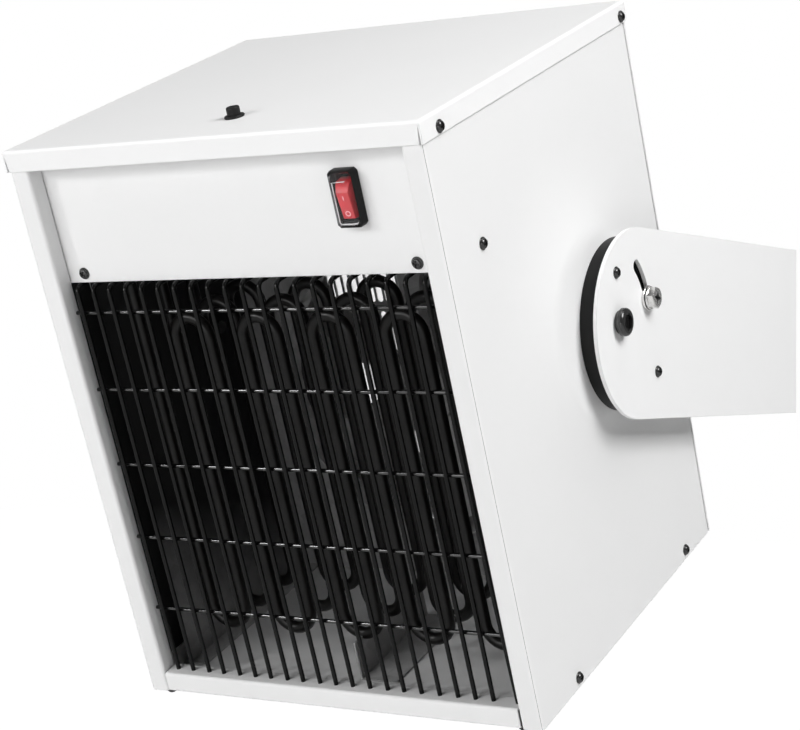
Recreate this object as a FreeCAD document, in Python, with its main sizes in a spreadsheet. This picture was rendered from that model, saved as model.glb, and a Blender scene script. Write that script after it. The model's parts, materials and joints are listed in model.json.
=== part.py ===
"""Wall fan heater: a sheet-steel case with a tubular element battery, tilting in a U-shaped wall bracket."""

import FreeCAD, Part
import math
import os
import Sketcher
from FreeCAD import Placement, Rotation, Vector

doc = FreeCAD.newDocument("WallFanHeater")
sheet = doc.addObject("Spreadsheet::Sheet", "Sizes")
next_row = 1


class Size:
    """A length, angle or count: its formula on the sheet and its present value."""

    def __init__(self, text, value):
        self.text = text
        self.value = value

    def __add__(self, other):
        other = as_size(other)
        return Size(f"({self.text} + {other.text})", self.value + other.value)

    def __sub__(self, other):
        other = as_size(other)
        return Size(f"({self.text} - {other.text})", self.value - other.value)

    def __mul__(self, other):
        other = as_size(other)
        return Size(f"({self.text} * {other.text})", self.value * other.value)

    def __truediv__(self, other):
        other = as_size(other)
        return Size(f"({self.text} / {other.text})", self.value / other.value)

    def __neg__(self):
        return Size(f"(-{self.text})", -self.value)

    __radd__ = __add__
    __rmul__ = __mul__


def as_size(number):
    """A plain number as a size, so that formulas can mix both."""
    if isinstance(number, Size):
        return number
    return Size(f"({number!r})", float(number))


def cosine(angle):
    return Size(f"cos({angle.text})", math.cos(math.radians(angle.value)))


def sine(angle):
    return Size(f"sin({angle.text})", math.sin(math.radians(angle.value)))


def arc_angle(length, radius):
    """The angle, in degrees, that a length spans on an arc."""
    return length / radius * math.degrees(1)


def size(alias, value, note):
    """Put one driving dimension on the sheet, in millimetres, degrees or as a count."""
    global next_row
    sheet.set(f"A{next_row}", note)
    sheet.set(f"B{next_row}", str(value))
    sheet.setAlias(f"B{next_row}", alias)
    next_row += 1
    return Size(f"Sizes.{alias}", float(value))


ZERO = as_size(0)
ORIGIN = -1
START, END, CENTRE = 1, 2, 3
HEXAGON_SIDES = 6
PRISM_SIDES = 8
BUSH_SIDES = 16
DRUM_SIDES = 24
RING_SIDES = 32
BEND_STEPS = 4

# Case
lid_width = size("lid_width", 300, "lid, side to side")
lid_depth = size("lid_depth", 273, "lid, front to back")
lid_lip = size("lid_lip", 13.5, "depth of the lid's lips")
lid_bend = size("lid_bend", 2, "outer radius of the lid's folded edges")
corner_slit = size("corner_slit", 1.3, "open wedge between the lid's lips at their lower edge")
case_height = size("case_height", 378.2, "top of the lid to underside of the bottom pan")
steel = size("steel", 1.2, "sheet thickness of the case")
seam = size("seam", 0.1, "gap between sheets that slip into each other")
panel_bend = size("panel_bend", 2.5, "outer radius of the side panel's folds")
flange_width = size("flange_width", 14.3, "front flange of a side panel")
flange_return = size("flange_return", 11.8, "depth of the flange's folded return")
return_gap = size("return_gap", 0.9, "gap between that return and the front panel")
rear_flange = size("rear_flange", 14, "rear flange of a side panel")
bottom_lip = size("bottom_lip", 13.7, "height of the bottom pan's front lip")
ledge_depth = size("ledge_depth", 13, "ledge folded back from that lip")
lip_gap = size("lip_gap", 0.7, "gap between that lip and the side flanges")
pan_bend = size("pan_bend", 2, "outer radius of that lip's folds")
pan_upstand = size("pan_upstand", 14, "upturned sides of the bottom pan")
front_drop = size("front_drop", 91, "top of the lid to lower edge of the front panel")
front_return = size("front_return", 22, "lower edge of the front panel, folded back")
deck_upstand = size("deck_upstand", 14, "upturned sides of the deck plate")

# Tilt pivot and boss
pivot_setback = size("pivot_setback", 150.5, "front of the lid to the tilt axis")
pivot_drop = size("pivot_drop", 174.5, "top of the lid to the tilt axis")
rest_tilt = size("rest_tilt", 22.6, "nose-down tilt of the case as shown")
tilt_travel = size("tilt_travel", 33, "further nose-down tilt that the slot allows")
boss_base = size("boss_base", 58, "radius of the pressed boss at its foot")
boss_top = size("boss_top", 55, "radius of the boss at its face")
boss_height = size("boss_height", 7, "height of the boss over the side panel")
slide_gap = size("slide_gap", 0.1, "running gap between faces that slide")

# Bracket, discs and clamp bolts
bracket_steel = size("bracket_steel", 2.5, "sheet thickness of the bracket")
bracket_bend = size("bracket_bend", 6, "outer radius of the bracket's folds")
arm_reach = size("arm_reach", 308, "wall face to the tilt axis")
arm_height = size("arm_height", 121, "height of the bracket's arms")
arm_end_back = size("arm_end_back", 29.8, "tilt axis to the centre of the arm's round end")
disc_radius = size("disc_radius", 55, "radius of the spacer disc")
disc_thickness = size("disc_thickness", 11.2, "thickness of the spacer disc")
disc_back = size("disc_back", 28.6, "tilt axis to the centre of the disc")
disc_screw_middle = size("disc_screw_middle", 26.3, "tilt axis to midway between the disc screws")
disc_screw_back = size("disc_screw_back", 30.7, "midway to a disc screw, along the arm")
disc_screw_up = size("disc_screw_up", 30.3, "midway to a disc screw, up or down")
pivot_bolt = size("pivot_bolt", 10, "diameter of the pivot bolt")
pivot_head = size("pivot_head", 17.6, "diameter of its socket head")
pivot_head_height = size("pivot_head_height", 4.2, "height of its head")
pivot_socket = size("pivot_socket", 10, "hexagon socket, across flats")
pivot_washer = size("pivot_washer", 14.6, "diameter of its spring washer")
pivot_washer_height = size("pivot_washer_height", 2.3, "thickness of its spring washer")
pivot_nut = size("pivot_nut", 16, "pivot nut, across flats")
pivot_nut_height = size("pivot_nut_height", 8, "height of the pivot nut")
lock_bolt = size("lock_bolt", 8, "diameter of the tilt lock bolt")
lock_head = size("lock_head", 12.6, "its head, across flats")
lock_head_height = size("lock_head_height", 6, "height of its head")
lock_washer = size("lock_washer", 16, "diameter of its washer")
lock_washer_height = size("lock_washer_height", 1.6, "thickness of its washer")
lock_nut_height = size("lock_nut_height", 6.5, "height of the tilt lock nut")
lock_angle = size("lock_angle", 22, "lock bolt above the arm's centre line as shown")
slot_radius = size("slot_radius", 43.5, "tilt axis to the middle of the arc slot")
bolt_play = size("bolt_play", 0.3, "clearance round a bolt in a part that it doesn't clamp to")
nut_stub = size("nut_stub", 1.5, "bolt end that stands out of its nut")
wall_hole = size("wall_hole", 9, "diameter of the wall bolt holes")
wall_pitch_across = size("wall_pitch_across", 240, "wall bolt holes, side to side")
wall_pitch_up = size("wall_pitch_up", 70, "wall bolt holes, up and down")

# Grille
bar_count = size("bar_count", 21, "number of grille bars")
bar_pitch = size("bar_pitch", 12.7, "spacing of the grille bars")
bar_size = size("bar_size", 3, "thickness of a grille bar")
bar_setback = size("bar_setback", 7.4, "face of the front flange to the middle of a bar")
bar_bend = size("bar_bend", 4.5, "bend at the top of a bar, to its middle line")
bar_tail = size("bar_tail", 16, "reach of the bar's top end, front to back")
cross_count = size("cross_count", 5, "number of cross wires")
cross_size = size("cross_size", 2.6, "thickness of a cross wire")
cross_top = size("cross_top", 110.5, "top of the lid to the highest cross wire")
cross_pitch = size("cross_pitch", 52.4, "spacing of the cross wires")

# Heating elements
tube_size = size("tube_size", 8, "diameter of the element tube")
leg_count = size("leg_count", 10, "legs of one element")
leg_pitch = size("leg_pitch", 26.5, "spacing of the legs")
row_count = size("row_count", 3, "elements, one behind the other")
row_setback = size("row_setback", 50, "front of the lid to the first element")
row_pitch = size("row_pitch", 30, "spacing of the elements")
loop_top = size("loop_top", 129, "top of the lid to the middle line of the top bends")
loop_bottom = size("loop_bottom", 28.2, "underside of the case to the middle line of the low bends")
tube_stub = size("tube_stub", 8, "element end above the deck")
terminal_size = size("terminal_size", 12, "diameter of a ceramic terminal")
terminal_height = size("terminal_height", 9, "height of a ceramic terminal")
stud_size = size("stud_size", 4, "diameter of the terminal's stud")
stud_height = size("stud_height", 10, "height of the terminal's stud")
support_foot = size("support_foot", 27, "foot of the element support")
support_margin = size("support_margin", 14, "element support in front of and behind the rows")

# Duct, fan and motor
shield_gap = size("shield_gap", 7, "side panel to heat shield")
shield_steel = size("shield_steel", 0.8, "sheet thickness of the heat shields")
shield_foot = size("shield_foot", 14, "foot of a heat shield")
fan_setback = size("fan_setback", 185, "front of the lid to the fan bulkhead")
fan_radius = size("fan_radius", 100, "radius that the blade tips sweep")
blade_reach = size("blade_reach", 95, "fan axis to the straight edge of a blade tip")
fan_gap = size("fan_gap", 4, "blade tip to inlet ring")
fan_depth = size("fan_depth", 26, "depth of the fan hub")
blade_count = size("blade_count", 5, "number of fan blades")
blade_root = size("blade_root", 30, "width of a blade at the hub")
blade_tip = size("blade_tip", 56, "width of a blade at its tip")
tip_corner = size("tip_corner", 10, "cut corners of a blade tip")
blade_sheet = size("blade_sheet", 1.6, "thickness of a blade")
blade_pitch = size("blade_pitch", 28, "angle of a blade to the plane of the fan")
blade_turn = size("blade_turn", 52, "first blade from upright, as shown")
ring_depth = size("ring_depth", 16, "depth of the inlet ring")
hub_radius = size("hub_radius", 24, "radius of the fan hub")
shaft_size = size("shaft_size", 8, "diameter of the motor shaft")
shaft_play = size("shaft_play", 0.05, "running clearance round the shaft")
motor_radius = size("motor_radius", 38, "radius of the motor")
motor_length = size("motor_length", 44, "length of the motor")
motor_cap = size("motor_cap", 7, "taper of the motor's end caps")
strap_width = size("strap_width", 36, "width of the motor bracket")
strap_steel = size("strap_steel", 2, "sheet thickness of the motor bracket")
strap_foot = size("strap_foot", 18, "foot of the motor bracket on the bulkhead")
fan_clear = size("fan_clear", 4, "fan hub to motor bracket")

# Rear panel
slot_wide = size("slot_wide", 4.8, "width of an air slot")
slot_tall = size("slot_tall", 33.5, "height of an air slot")
slot_columns = size("slot_columns", 17, "air slots side by side")
slot_middle = size("slot_middle", 13, "air slots side by side in the middle row")
slot_pitch = size("slot_pitch", 13.6, "spacing of the air slots side by side")
slot_row_pitch = size("slot_row_pitch", 40.8, "spacing of the rows of air slots")
slot_lift = size("slot_lift", 6.9, "middle row of air slots above the fan axis")
gland_drop = size("gland_drop", 52, "top of the lid to the cable gland")
gland_side = size("gland_side", 96, "middle of the case to the cable gland")
gland_thread = size("gland_thread", 20, "diameter of the gland's neck")
gland_bore = size("gland_bore", 12.6, "bore for the supply cable")
gland_hex = size("gland_hex", 24, "gland, across flats")
gland_hex_depth = size("gland_hex_depth", 8, "depth of the gland's hexagon")
gland_dome = size("gland_dome", 14, "length of the gland's dome nut")
gland_nut = size("gland_nut", 20.5, "diameter of the gland's dome nut")
gland_neck = size("gland_neck", 10, "gland's neck inside the case")

# Switch
switch_side = size("switch_side", 87, "middle of the case to the switch")
switch_drop = size("switch_drop", 44, "top of the lid to the middle of the switch")
bezel_wide = size("bezel_wide", 17, "width of the switch bezel")
bezel_tall = size("bezel_tall", 34, "height of the switch bezel")
bezel_proud = size("bezel_proud", 6.5, "bezel in front of the panel")
bezel_wall = size("bezel_wall", 2, "wall of the switch bezel")
well_step = size("well_step", 1, "ledge in the bezel round the rocker's well")
bezel_corner = size("bezel_corner", 1.8, "cut corners of the bezel")
switch_depth = size("switch_depth", 24, "switch body behind the panel")
rocker_throw = size("rocker_throw", 20, "angle between off and on")
rocker_play = size("rocker_play", 0.5, "gap round the rocker")
rocker_proud = size("rocker_proud", 6.8, "face of the rocker in front of the panel")
rocker_depth = size("rocker_depth", 10.2, "rocker's axis to its face")
rocker_dip = size("rocker_dip", 0.4, "dip of the rocker's face at its middle")
rocker_face_wide = size("rocker_face_wide", 6.6, "width of the rocker's face")
rocker_face_tall = size("rocker_face_tall", 20.2, "height of the rocker's face")
rocker_shoulder = size("rocker_shoulder", 5.5, "rocker's axis to the foot of the slopes round its face")
rocker_tail = size("rocker_tail", 5, "rocker's middle behind its axis")
rocker_heel = size("rocker_heel", 1, "rocker's ends behind its axis")
rocker_end = size("rocker_end", 3, "margin of the rocker from the bezel's ends")
rocker_pin = size("rocker_pin", 3, "diameter of the pins that carry the rocker")
cover_sheet = size("cover_sheet", 0.8, "thickness of the clear cover")
cover_proud = size("cover_proud", 2.7, "clear cover in front of the bezel's rim")

# Reset button and thermal cut-out
reset_setback = size("reset_setback", 41, "front of the lid to the reset button")
reset_size = size("reset_size", 8.2, "diameter of the reset button")
reset_proud = size("reset_proud", 5, "reset button above its bush")
reset_travel = size("reset_travel", 2, "stroke of the reset button")
reset_play = size("reset_play", 0.1, "gap round the reset button")
bush_flange = size("bush_flange", 12.4, "diameter of the bush's flange")
bush_flange_height = size("bush_flange_height", 1.6, "thickness of the bush's flange")
bush_neck = size("bush_neck", 10.4, "diameter of the bush's neck")
bush_length = size("bush_length", 7, "length of the bush below the lid")
cutout_wide = size("cutout_wide", 34, "width of the thermal cut-out")
cutout_deep = size("cutout_deep", 24, "depth of the thermal cut-out, front to back")
cutout_tall = size("cutout_tall", 26, "height of the thermal cut-out")

# Contactor and mains terminals on the deck
contactor_wide = size("contactor_wide", 45, "width of the contactor")
contactor_deep = size("contactor_deep", 58, "depth of the contactor")
contactor_tall = size("contactor_tall", 54, "height of the contactor")
contactor_step = size("contactor_step", 12, "depth of the contactor's terminal steps")
contactor_side = size("contactor_side", 40, "middle of the case to the contactor")
control_setback = size("control_setback", 206, "front of the lid to the control pieces")
block_cells = size("block_cells", 5, "cells of the mains terminal block")
block_pitch = size("block_pitch", 11, "spacing of those cells")
block_gap = size("block_gap", 1.5, "groove between those cells")
block_deep = size("block_deep", 24, "depth of the mains terminal block")
block_tall = size("block_tall", 22, "height of the mains terminal block")
block_step = size("block_step", 7, "step of the mains terminal block")
block_side = size("block_side", 60, "middle of the case to the terminal block")

# Screws
screw_head = size("screw_head", 7.6, "diameter of a pan head")
screw_head_height = size("screw_head_height", 2.4, "height of a pan head")
lid_screw_margin = size("lid_screw_margin", 20, "lid screws from the front of the lid")
lid_screw_rear = size("lid_screw_rear", 8.5, "lid screws from the back of the lid")
lid_screw_drop = size("lid_screw_drop", 9, "top of the lid to the lid screws")
front_screw_side = size("front_screw_side", 122, "middle of the case to the front screws")
front_screw_up = size("front_screw_up", 6, "front screws above the front panel's lower edge")
deck_screw_setback = size("deck_screw_setback", 43, "front of the lid to the deck screws")
deck_screw_up = size("deck_screw_up", 4, "deck screws above the deck")
pan_screw_front = size("pan_screw_front", 55, "front of the lid to the first pan screws")
pan_screw_rear = size("pan_screw_rear", 229, "front of the lid to the rear pan screws")
pan_screw_up = size("pan_screw_up", 6.2, "pan screws above the underside of the case")
foot_screw_side = size("foot_screw_side", 134.4, "middle of the case to the screws under the lip")
foot_screw_back = size("foot_screw_back", 4.2, "face of the lip to the screws under it")
rear_screw_margin = size("rear_screw_margin", 8, "rear screws from the panel's edges")

doc.recompute()

# Planes of the case, measured from the tilt axis: x to the right, y to the back, z up
lid_front = -pivot_setback
lid_back = lid_depth - pivot_setback
lid_top = pivot_drop
case_front = lid_front + steel + seam
case_back = lid_back - steel - seam
case_top = lid_top - steel - seam
case_bottom = lid_top - case_height
side_out = lid_width / 2 - steel - seam
side_in = side_out - steel
inner_half = side_in - seam
flange_in = side_out - flange_width
rear_in = case_back - steel - seam
floor_top = case_bottom + steel
front_face = case_front + flange_return + return_gap
front_back = front_face + steel
front_bottom = lid_top - front_drop
deck_under = front_bottom + steel
deck_top = deck_under + steel
bulkhead_front = lid_front + fan_setback
bulkhead_back = bulkhead_front + steel
fan_height = (deck_under + floor_top) / 2
boss_face = side_out + boss_height
boss_inside = boss_face - steel
arm_in = boss_face + slide_gap + disc_thickness
arm_out = arm_in + bracket_steel
slot_width = lock_bolt + bolt_play * 2
slot_edges = (slot_radius - slot_width / 2, slot_radius + slot_width / 2)


def piece(label):
    """An empty body for one sub-part, which may be a group of separate solids."""
    body = doc.addObject("PartDesign::Body", label)
    body.Label = label
    body.AllowCompound = True
    return body


def origin_part(body, role):
    return next(part for part in body.Origin.OriginFeatures if part.Role == role)


def draw(body, role, offset=ZERO):
    """A sketch on one of the body's own origin planes, moved along the plane's normal."""
    sketch = body.newObject("Sketcher::SketchObject", "Sketch")
    sketch.AttachmentSupport = [(origin_part(body, role), "")]
    sketch.MapMode = "FlatFace"
    sketch.setExpression("AttachmentOffset.Base.z", offset.text)
    return sketch


def hold(sketch, geometry, point, spot, kinds=("DistanceX", "DistanceY")):
    """Tie a point of a sketch to formulas, measured from the sketch's origin."""
    for kind, length in zip(kinds, spot):
        length = as_size(length)
        rule = Sketcher.Constraint(kind, ORIGIN, START, geometry, point, length.value)
        index = sketch.addConstraint(rule)
        sketch.setExpression(f"Constraints[{index}]", length.text)


def outline(sketch, spots):
    """A closed run of straight lines through the given points."""
    first = sketch.GeometryCount
    count = len(spots)
    corners = [Vector(as_size(across).value, as_size(up).value, 0) for across, up in spots]
    for index in range(count):
        sketch.addGeometry(Part.LineSegment(corners[index], corners[(index + 1) % count]))
    for index in range(count):
        following = first + (index + 1) % count
        sketch.addConstraint(Sketcher.Constraint("Coincident", first + index, END, following, START))
    for index, spot in enumerate(spots):
        hold(sketch, first + index, START, spot)
    return sketch


def run(sketch, spots):
    """An open run of straight lines through the given points."""
    points = [Vector(as_size(across).value, as_size(up).value, 0) for across, up in spots]
    for index in range(len(spots) - 1):
        sketch.addGeometry(Part.LineSegment(points[index], points[index + 1]))
    for index in range(1, len(spots) - 1):
        sketch.addConstraint(Sketcher.Constraint("Coincident", index - 1, END, index, START))
    for index, spot in enumerate(spots[:-1]):
        hold(sketch, index, START, spot)
    hold(sketch, len(spots) - 2, END, spots[-1])
    return sketch


def rectangle(sketch, low, high):
    return outline(sketch, [low, (high[0], low[1]), high, (low[0], high[1])])


def circle(sketch, centre, radius):
    spot = Vector(as_size(centre[0]).value, as_size(centre[1]).value, 0)
    index = sketch.addGeometry(Part.Circle(spot, Vector(0, 0, 1), radius.value))
    hold(sketch, index, CENTRE, centre)
    rule = sketch.addConstraint(Sketcher.Constraint("Radius", index, radius.value))
    sketch.setExpression(f"Constraints[{rule}]", radius.text)
    return sketch


def polygon(sketch, centre, flats, sides):
    """A regular polygon of the given width across its flats."""
    spots = []
    corner = flats / (2 * math.cos(math.pi / sides))
    for index in range(sides):
        angle = (index + 0.5) * 2 * math.pi / sides
        spots.append((centre[0] + corner * math.cos(angle), centre[1] + corner * math.sin(angle)))
    return outline(sketch, spots)


def shank_flats(diameter):
    """Width across flats of a small prism that stands for a round shank in a round hole."""
    return diameter * math.cos(math.pi / PRISM_SIDES)


def extrude(body, sketch, length, kind="PartDesign::Pad", back=False, middle=False):
    """A pad or pocket of the given length, on one side of its sketch or across it."""
    feature = body.newObject(kind, kind.split("::")[1])
    feature.Profile = sketch
    feature.setExpression("Length", length.text)
    feature.Reversed = back
    if middle:
        feature.SideType = "Symmetric"
    body.Tip = feature
    return feature


def pocket(body, sketch, length, back=False, middle=False):
    return extrude(body, sketch, length, "PartDesign::Pocket", back, middle)


def revolve(body, sketch):
    """A body of revolution about the sketch's horizontal axis."""
    feature = body.newObject("PartDesign::Revolution", "Revolution")
    feature.Profile = sketch
    feature.ReferenceAxis = (sketch, ["H_Axis"])
    body.Tip = feature
    return feature


def repeat(body, features, role, length, count):
    """Copies of some features in a row along one of the body's axes."""
    pattern = body.newObject("PartDesign::LinearPattern", "LinearPattern")
    pattern.Originals = features
    pattern.Direction = (origin_part(body, role), [""])
    pattern.setExpression("Length", length.text)
    pattern.setExpression("Occurrences", as_size(count).text)
    body.Tip = pattern
    return pattern


def repeat_grid(body, features, first, second):
    """Copies of some features in rows along two of the body's axes."""
    pattern = repeat(body, features, *first)
    role, length, count = second
    pattern.Direction2 = (origin_part(body, role), [""])
    pattern.setExpression("Length2", length.text)
    pattern.setExpression("Occurrences2", as_size(count).text)
    return pattern


def mirror(body, features):
    """Copies of some features on the other side of the heater."""
    copy = body.newObject("PartDesign::Mirrored", "Mirrored")
    copy.Originals = features
    copy.MirrorPlane = (origin_part(body, "YZ_Plane"), [""])
    body.Tip = copy
    return copy


def fillet(body, edge_names, radius):
    base = body.Tip
    feature = body.newObject("PartDesign::Fillet", "Fillet")
    feature.Base = (base, edge_names)
    feature.setExpression("Radius", radius.text)
    body.Tip = feature
    return feature


def edges_where(body, test):
    """Names of the straight edges of the body so far whose middle and direction pass a test."""
    doc.recompute()
    names = []
    for index, edge in enumerate(body.Tip.Shape.Edges, start=1):
        if edge.Curve.TypeId != "Part::GeomLine":
            continue
        middle = (edge.Vertexes[0].Point + edge.Vertexes[-1].Point) / 2
        along = (edge.Vertexes[-1].Point - edge.Vertexes[0].Point).normalize()
        if test(middle, along):
            names.append(f"Edge{index}")
    return names


def near(number, goal):
    return abs(number - goal.value) < 0.01


def upright_edges_at(body, spots):
    """Names of the upright edges that stand on the given points of the plan."""

    def on_spot(middle, along):
        return abs(along.z) > 0.9 and any(near(middle.x, x) and near(middle.y, y) for x, y in spots)

    return edges_where(body, on_spot)


def on_case(body):
    """Seat a sub-part that is drawn from the tilt axis into the tilted case."""
    body.Placement = Placement(Vector(0, 0, 0), Rotation(Vector(1, 0, 0), rest_tilt.value))
    body.setExpression("Placement.Base.y", (-arm_reach).text)
    body.setExpression("Placement.Rotation.Angle", rest_tilt.text)
    return body


def at_spot(body, spot, turn=ZERO):
    """Seat a sub-part that is drawn about its own axis at a point of the tilted case."""
    across, along, up = spot
    angle = rest_tilt + turn
    body.Placement = Placement(Vector(0, 0, 0), Rotation(Vector(1, 0, 0), angle.value))
    body.setExpression("Placement.Rotation.Angle", angle.text)
    row_y = along * cosine(rest_tilt) - up * sine(rest_tilt) - arm_reach
    row_z = along * sine(rest_tilt) + up * cosine(rest_tilt)
    body.setExpression("Placement.Base.x", across.text)
    body.setExpression("Placement.Base.y", row_y.text)
    body.setExpression("Placement.Base.z", row_z.text)
    return body


def on_bracket(body):
    """Seat a sub-part that is drawn from the tilt axis on the level bracket."""
    body.setExpression("Placement.Base.y", (-arm_reach).text)
    return body


def make_wall_bracket():
    """One strip folded to a U, with round arm ends, pivot holes, arc slots and wall bolt holes."""
    body = piece("wall_bracket")
    wall_in = -bracket_steel
    arm_end = arm_end_back - arm_height / 2 - arm_reach
    plan = [
        (arm_out, ZERO),
        (arm_out, arm_end),
        (arm_in, arm_end),
        (arm_in, wall_in),
        (-arm_in, wall_in),
        (-arm_in, arm_end),
        (-arm_out, arm_end),
        (-arm_out, ZERO),
    ]
    extrude(body, outline(draw(body, "XY_Plane"), plan), arm_height, middle=True)
    outer = upright_edges_at(body, [(arm_out, ZERO), (-arm_out, ZERO)])
    fillet(body, outer, bracket_bend)
    inner = upright_edges_at(body, [(arm_in, wall_in), (-arm_in, wall_in)])
    fillet(body, inner, bracket_bend - bracket_steel)

    def arm_corner(middle, along):
        return abs(along.x) > 0.9 and near(middle.y, arm_end)

    fillet(body, edges_where(body, arm_corner), arm_height / 2 - seam)

    pivot_holes = draw(body, "YZ_Plane")
    polygon(pivot_holes, (-arm_reach, ZERO), pivot_bolt + bolt_play * 2, PRISM_SIDES)
    pocket(body, pivot_holes, arm_out * 2, middle=True)
    cut_arc_slot(body, -arm_reach, arm_out * 2)

    wall_holes = draw(body, "XZ_Plane")
    for across in (1, -1):
        for up in (1, -1):
            centre = (wall_pitch_across / 2 * across, wall_pitch_up / 2 * up)
            circle(wall_holes, centre, wall_hole / 2)
    pocket(body, wall_holes, bracket_steel * 2, middle=True)
    return body


def cut_arc_slot(body, pivot_y, width):
    """The arc slot for the lock bolt, cut right across the body about the tilt axis."""
    ends = (lock_angle, lock_angle + tilt_travel)
    for angle in ends:
        centre = (pivot_y + slot_radius * cosine(angle), slot_radius * sine(angle))
        end = circle(draw(body, "YZ_Plane"), centre, slot_width / 2)
        pocket(body, end, width, middle=True)
    band = arc_band(draw(body, "YZ_Plane"), pivot_y, slot_edges, ends)
    pocket(body, band, width, middle=True)


def arc_band(sketch, pivot_y, radii, angles):
    """A band between two arcs about the tilt axis, closed by two straight ends."""
    centre = Vector(pivot_y.value, 0, 0)
    start, end = (math.radians(angle.value) for angle in angles)
    for radius in radii:
        ring = Part.Circle(centre, Vector(0, 0, 1), radius.value)
        arc = sketch.addGeometry(Part.ArcOfCircle(ring, start, end))
        hold(sketch, arc, CENTRE, (pivot_y, ZERO))
        hold(sketch, arc, START, (pivot_y + radius * cosine(angles[0]), radius * sine(angles[0])))
        hold(sketch, arc, END, (pivot_y + radius * cosine(angles[1]),), ("DistanceX",))
    for point in (START, END):
        low, high = (sketch.getPoint(arc, point) for arc in (0, 1))
        line = sketch.addGeometry(Part.LineSegment(low, high))
        sketch.addConstraint(Sketcher.Constraint("Coincident", line, START, 0, point))
        sketch.addConstraint(Sketcher.Constraint("Coincident", line, END, 1, point))
    return sketch


def make_spacer_discs():
    """Plastic discs on the inside of the arms, with the same pivot hole and slot as the arm."""
    body = piece("spacer_discs")
    face = circle(draw(body, "YZ_Plane", arm_in), (disc_back, ZERO), disc_radius)
    disc = extrude(body, face, disc_thickness, back=True)
    mirror(body, [disc])
    hole = polygon(draw(body, "YZ_Plane"), (ZERO, ZERO), pivot_bolt + bolt_play * 2, PRISM_SIDES)
    pocket(body, hole, arm_out * 2, middle=True)
    past = arc_angle(slot_width / 2, slot_radius)
    ends = (lock_angle - past, lock_angle + tilt_travel + past)
    pocket(body, arc_band(draw(body, "YZ_Plane"), ZERO, slot_edges, ends), arm_out * 2, middle=True)
    return on_bracket(body)


def make_spacer_screws():
    """Pan-head screws through the arms into the discs."""
    body = piece("spacer_screws")
    heads = []
    for sign in (1, -1):
        centre = (disc_screw_middle - disc_screw_back * sign, disc_screw_up * sign)
        heads.append(screw_at(body, "YZ_Plane", arm_out, centre))
    mirror(body, heads)
    return on_bracket(body)


def screw_at(body, role, surface, centre, inward=False):
    """The head of one pan-head screw, seated on a plane."""
    head = polygon(draw(body, role, surface), centre, screw_head, PRISM_SIDES)
    return extrude(body, head, screw_head_height, back=inward)


def make_pivot_bolts():
    """Socket-head bolts that carry the case, with the hexagon socket in each head."""
    body = piece("pivot_bolts")
    seat = arm_out + slide_gap + pivot_washer_height
    end = boss_inside - pivot_nut_height - nut_stub
    head_sketch = polygon(draw(body, "YZ_Plane", seat), (ZERO, ZERO), pivot_head, BUSH_SIDES)
    head = extrude(body, head_sketch, pivot_head_height)
    shank_sketch = draw(body, "YZ_Plane", seat)
    polygon(shank_sketch, (ZERO, ZERO), shank_flats(pivot_bolt), PRISM_SIDES)
    shank = extrude(body, shank_sketch, seat - end, back=True)
    face = seat + pivot_head_height
    socket_sketch = polygon(draw(body, "YZ_Plane", face), (ZERO, ZERO), pivot_socket, HEXAGON_SIDES)
    socket = pocket(body, socket_sketch, pivot_head_height / 2)
    mirror(body, [head, shank, socket])
    return on_case(body)


def make_rings(label, seat, height, outside, inside, centre):
    """Washers on both sides of the case."""
    body = piece(label)
    face = polygon(draw(body, "YZ_Plane", seat), centre, outside, BUSH_SIDES)
    polygon(face, centre, shank_flats(inside), PRISM_SIDES)
    mirror(body, [extrude(body, face, height)])
    return on_case(body)


def make_nuts(label, flats, height, bore, centre):
    """Hexagon nuts behind the bosses of both side panels."""
    body = piece(label)
    face = polygon(draw(body, "YZ_Plane", boss_inside), centre, flats, HEXAGON_SIDES)
    polygon(face, centre, shank_flats(bore), PRISM_SIDES)
    mirror(body, [extrude(body, face, height, back=True)])
    return on_case(body)


lock_spot_angle = lock_angle - rest_tilt
lock_spot = (slot_radius * cosine(lock_spot_angle), slot_radius * sine(lock_spot_angle))


def make_lock_bolts():
    """Hexagon bolts that clamp the tilt through the arc slots."""
    body = piece("tilt_lock_bolts")
    seat = arm_out + slide_gap + lock_washer_height
    end = boss_inside - lock_nut_height - nut_stub
    head_sketch = polygon(draw(body, "YZ_Plane", seat), lock_spot, lock_head, HEXAGON_SIDES)
    head = extrude(body, head_sketch, lock_head_height)
    shank_sketch = polygon(draw(body, "YZ_Plane", seat), lock_spot, shank_flats(lock_bolt), PRISM_SIDES)
    shank = extrude(body, shank_sketch, seat - end, back=True)
    mirror(body, [head, shank])
    return on_case(body)


def make_top_cover():
    """The lid: a shallow tray turned upside down, with open corners and a hole for the reset button."""
    body = piece("top_cover")
    half = lid_width / 2
    lip_edge = lid_top - lid_lip
    block = rectangle(draw(body, "XY_Plane", lip_edge), (-half, lid_front), (half, lid_back))
    extrude(body, block, lid_lip)

    def top_edge(middle, along):
        return near(middle.z, lid_top)

    fillet(body, edges_where(body, top_edge), lid_bend)
    low = (steel - half, lid_front + steel)
    high = (half - steel, lid_back - steel)
    inside = rectangle(draw(body, "XY_Plane", lip_edge), low, high)
    pocket(body, inside, lid_lip - steel, back=True)
    slits = draw(body, "XZ_Plane")
    for side in (1, -1):
        edge = (half - steel) * side
        outline(slits, [(edge, lip_edge), (edge - corner_slit * side, lip_edge), (edge, lid_top - lid_bend)])
    pocket(body, slits, lid_depth * 2, middle=True)
    hole = polygon(draw(body, "XY_Plane", lid_top), (ZERO, reset_spot_y), bush_neck, BUSH_SIDES)
    pocket(body, hole, steel)
    return on_case(body)


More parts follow.
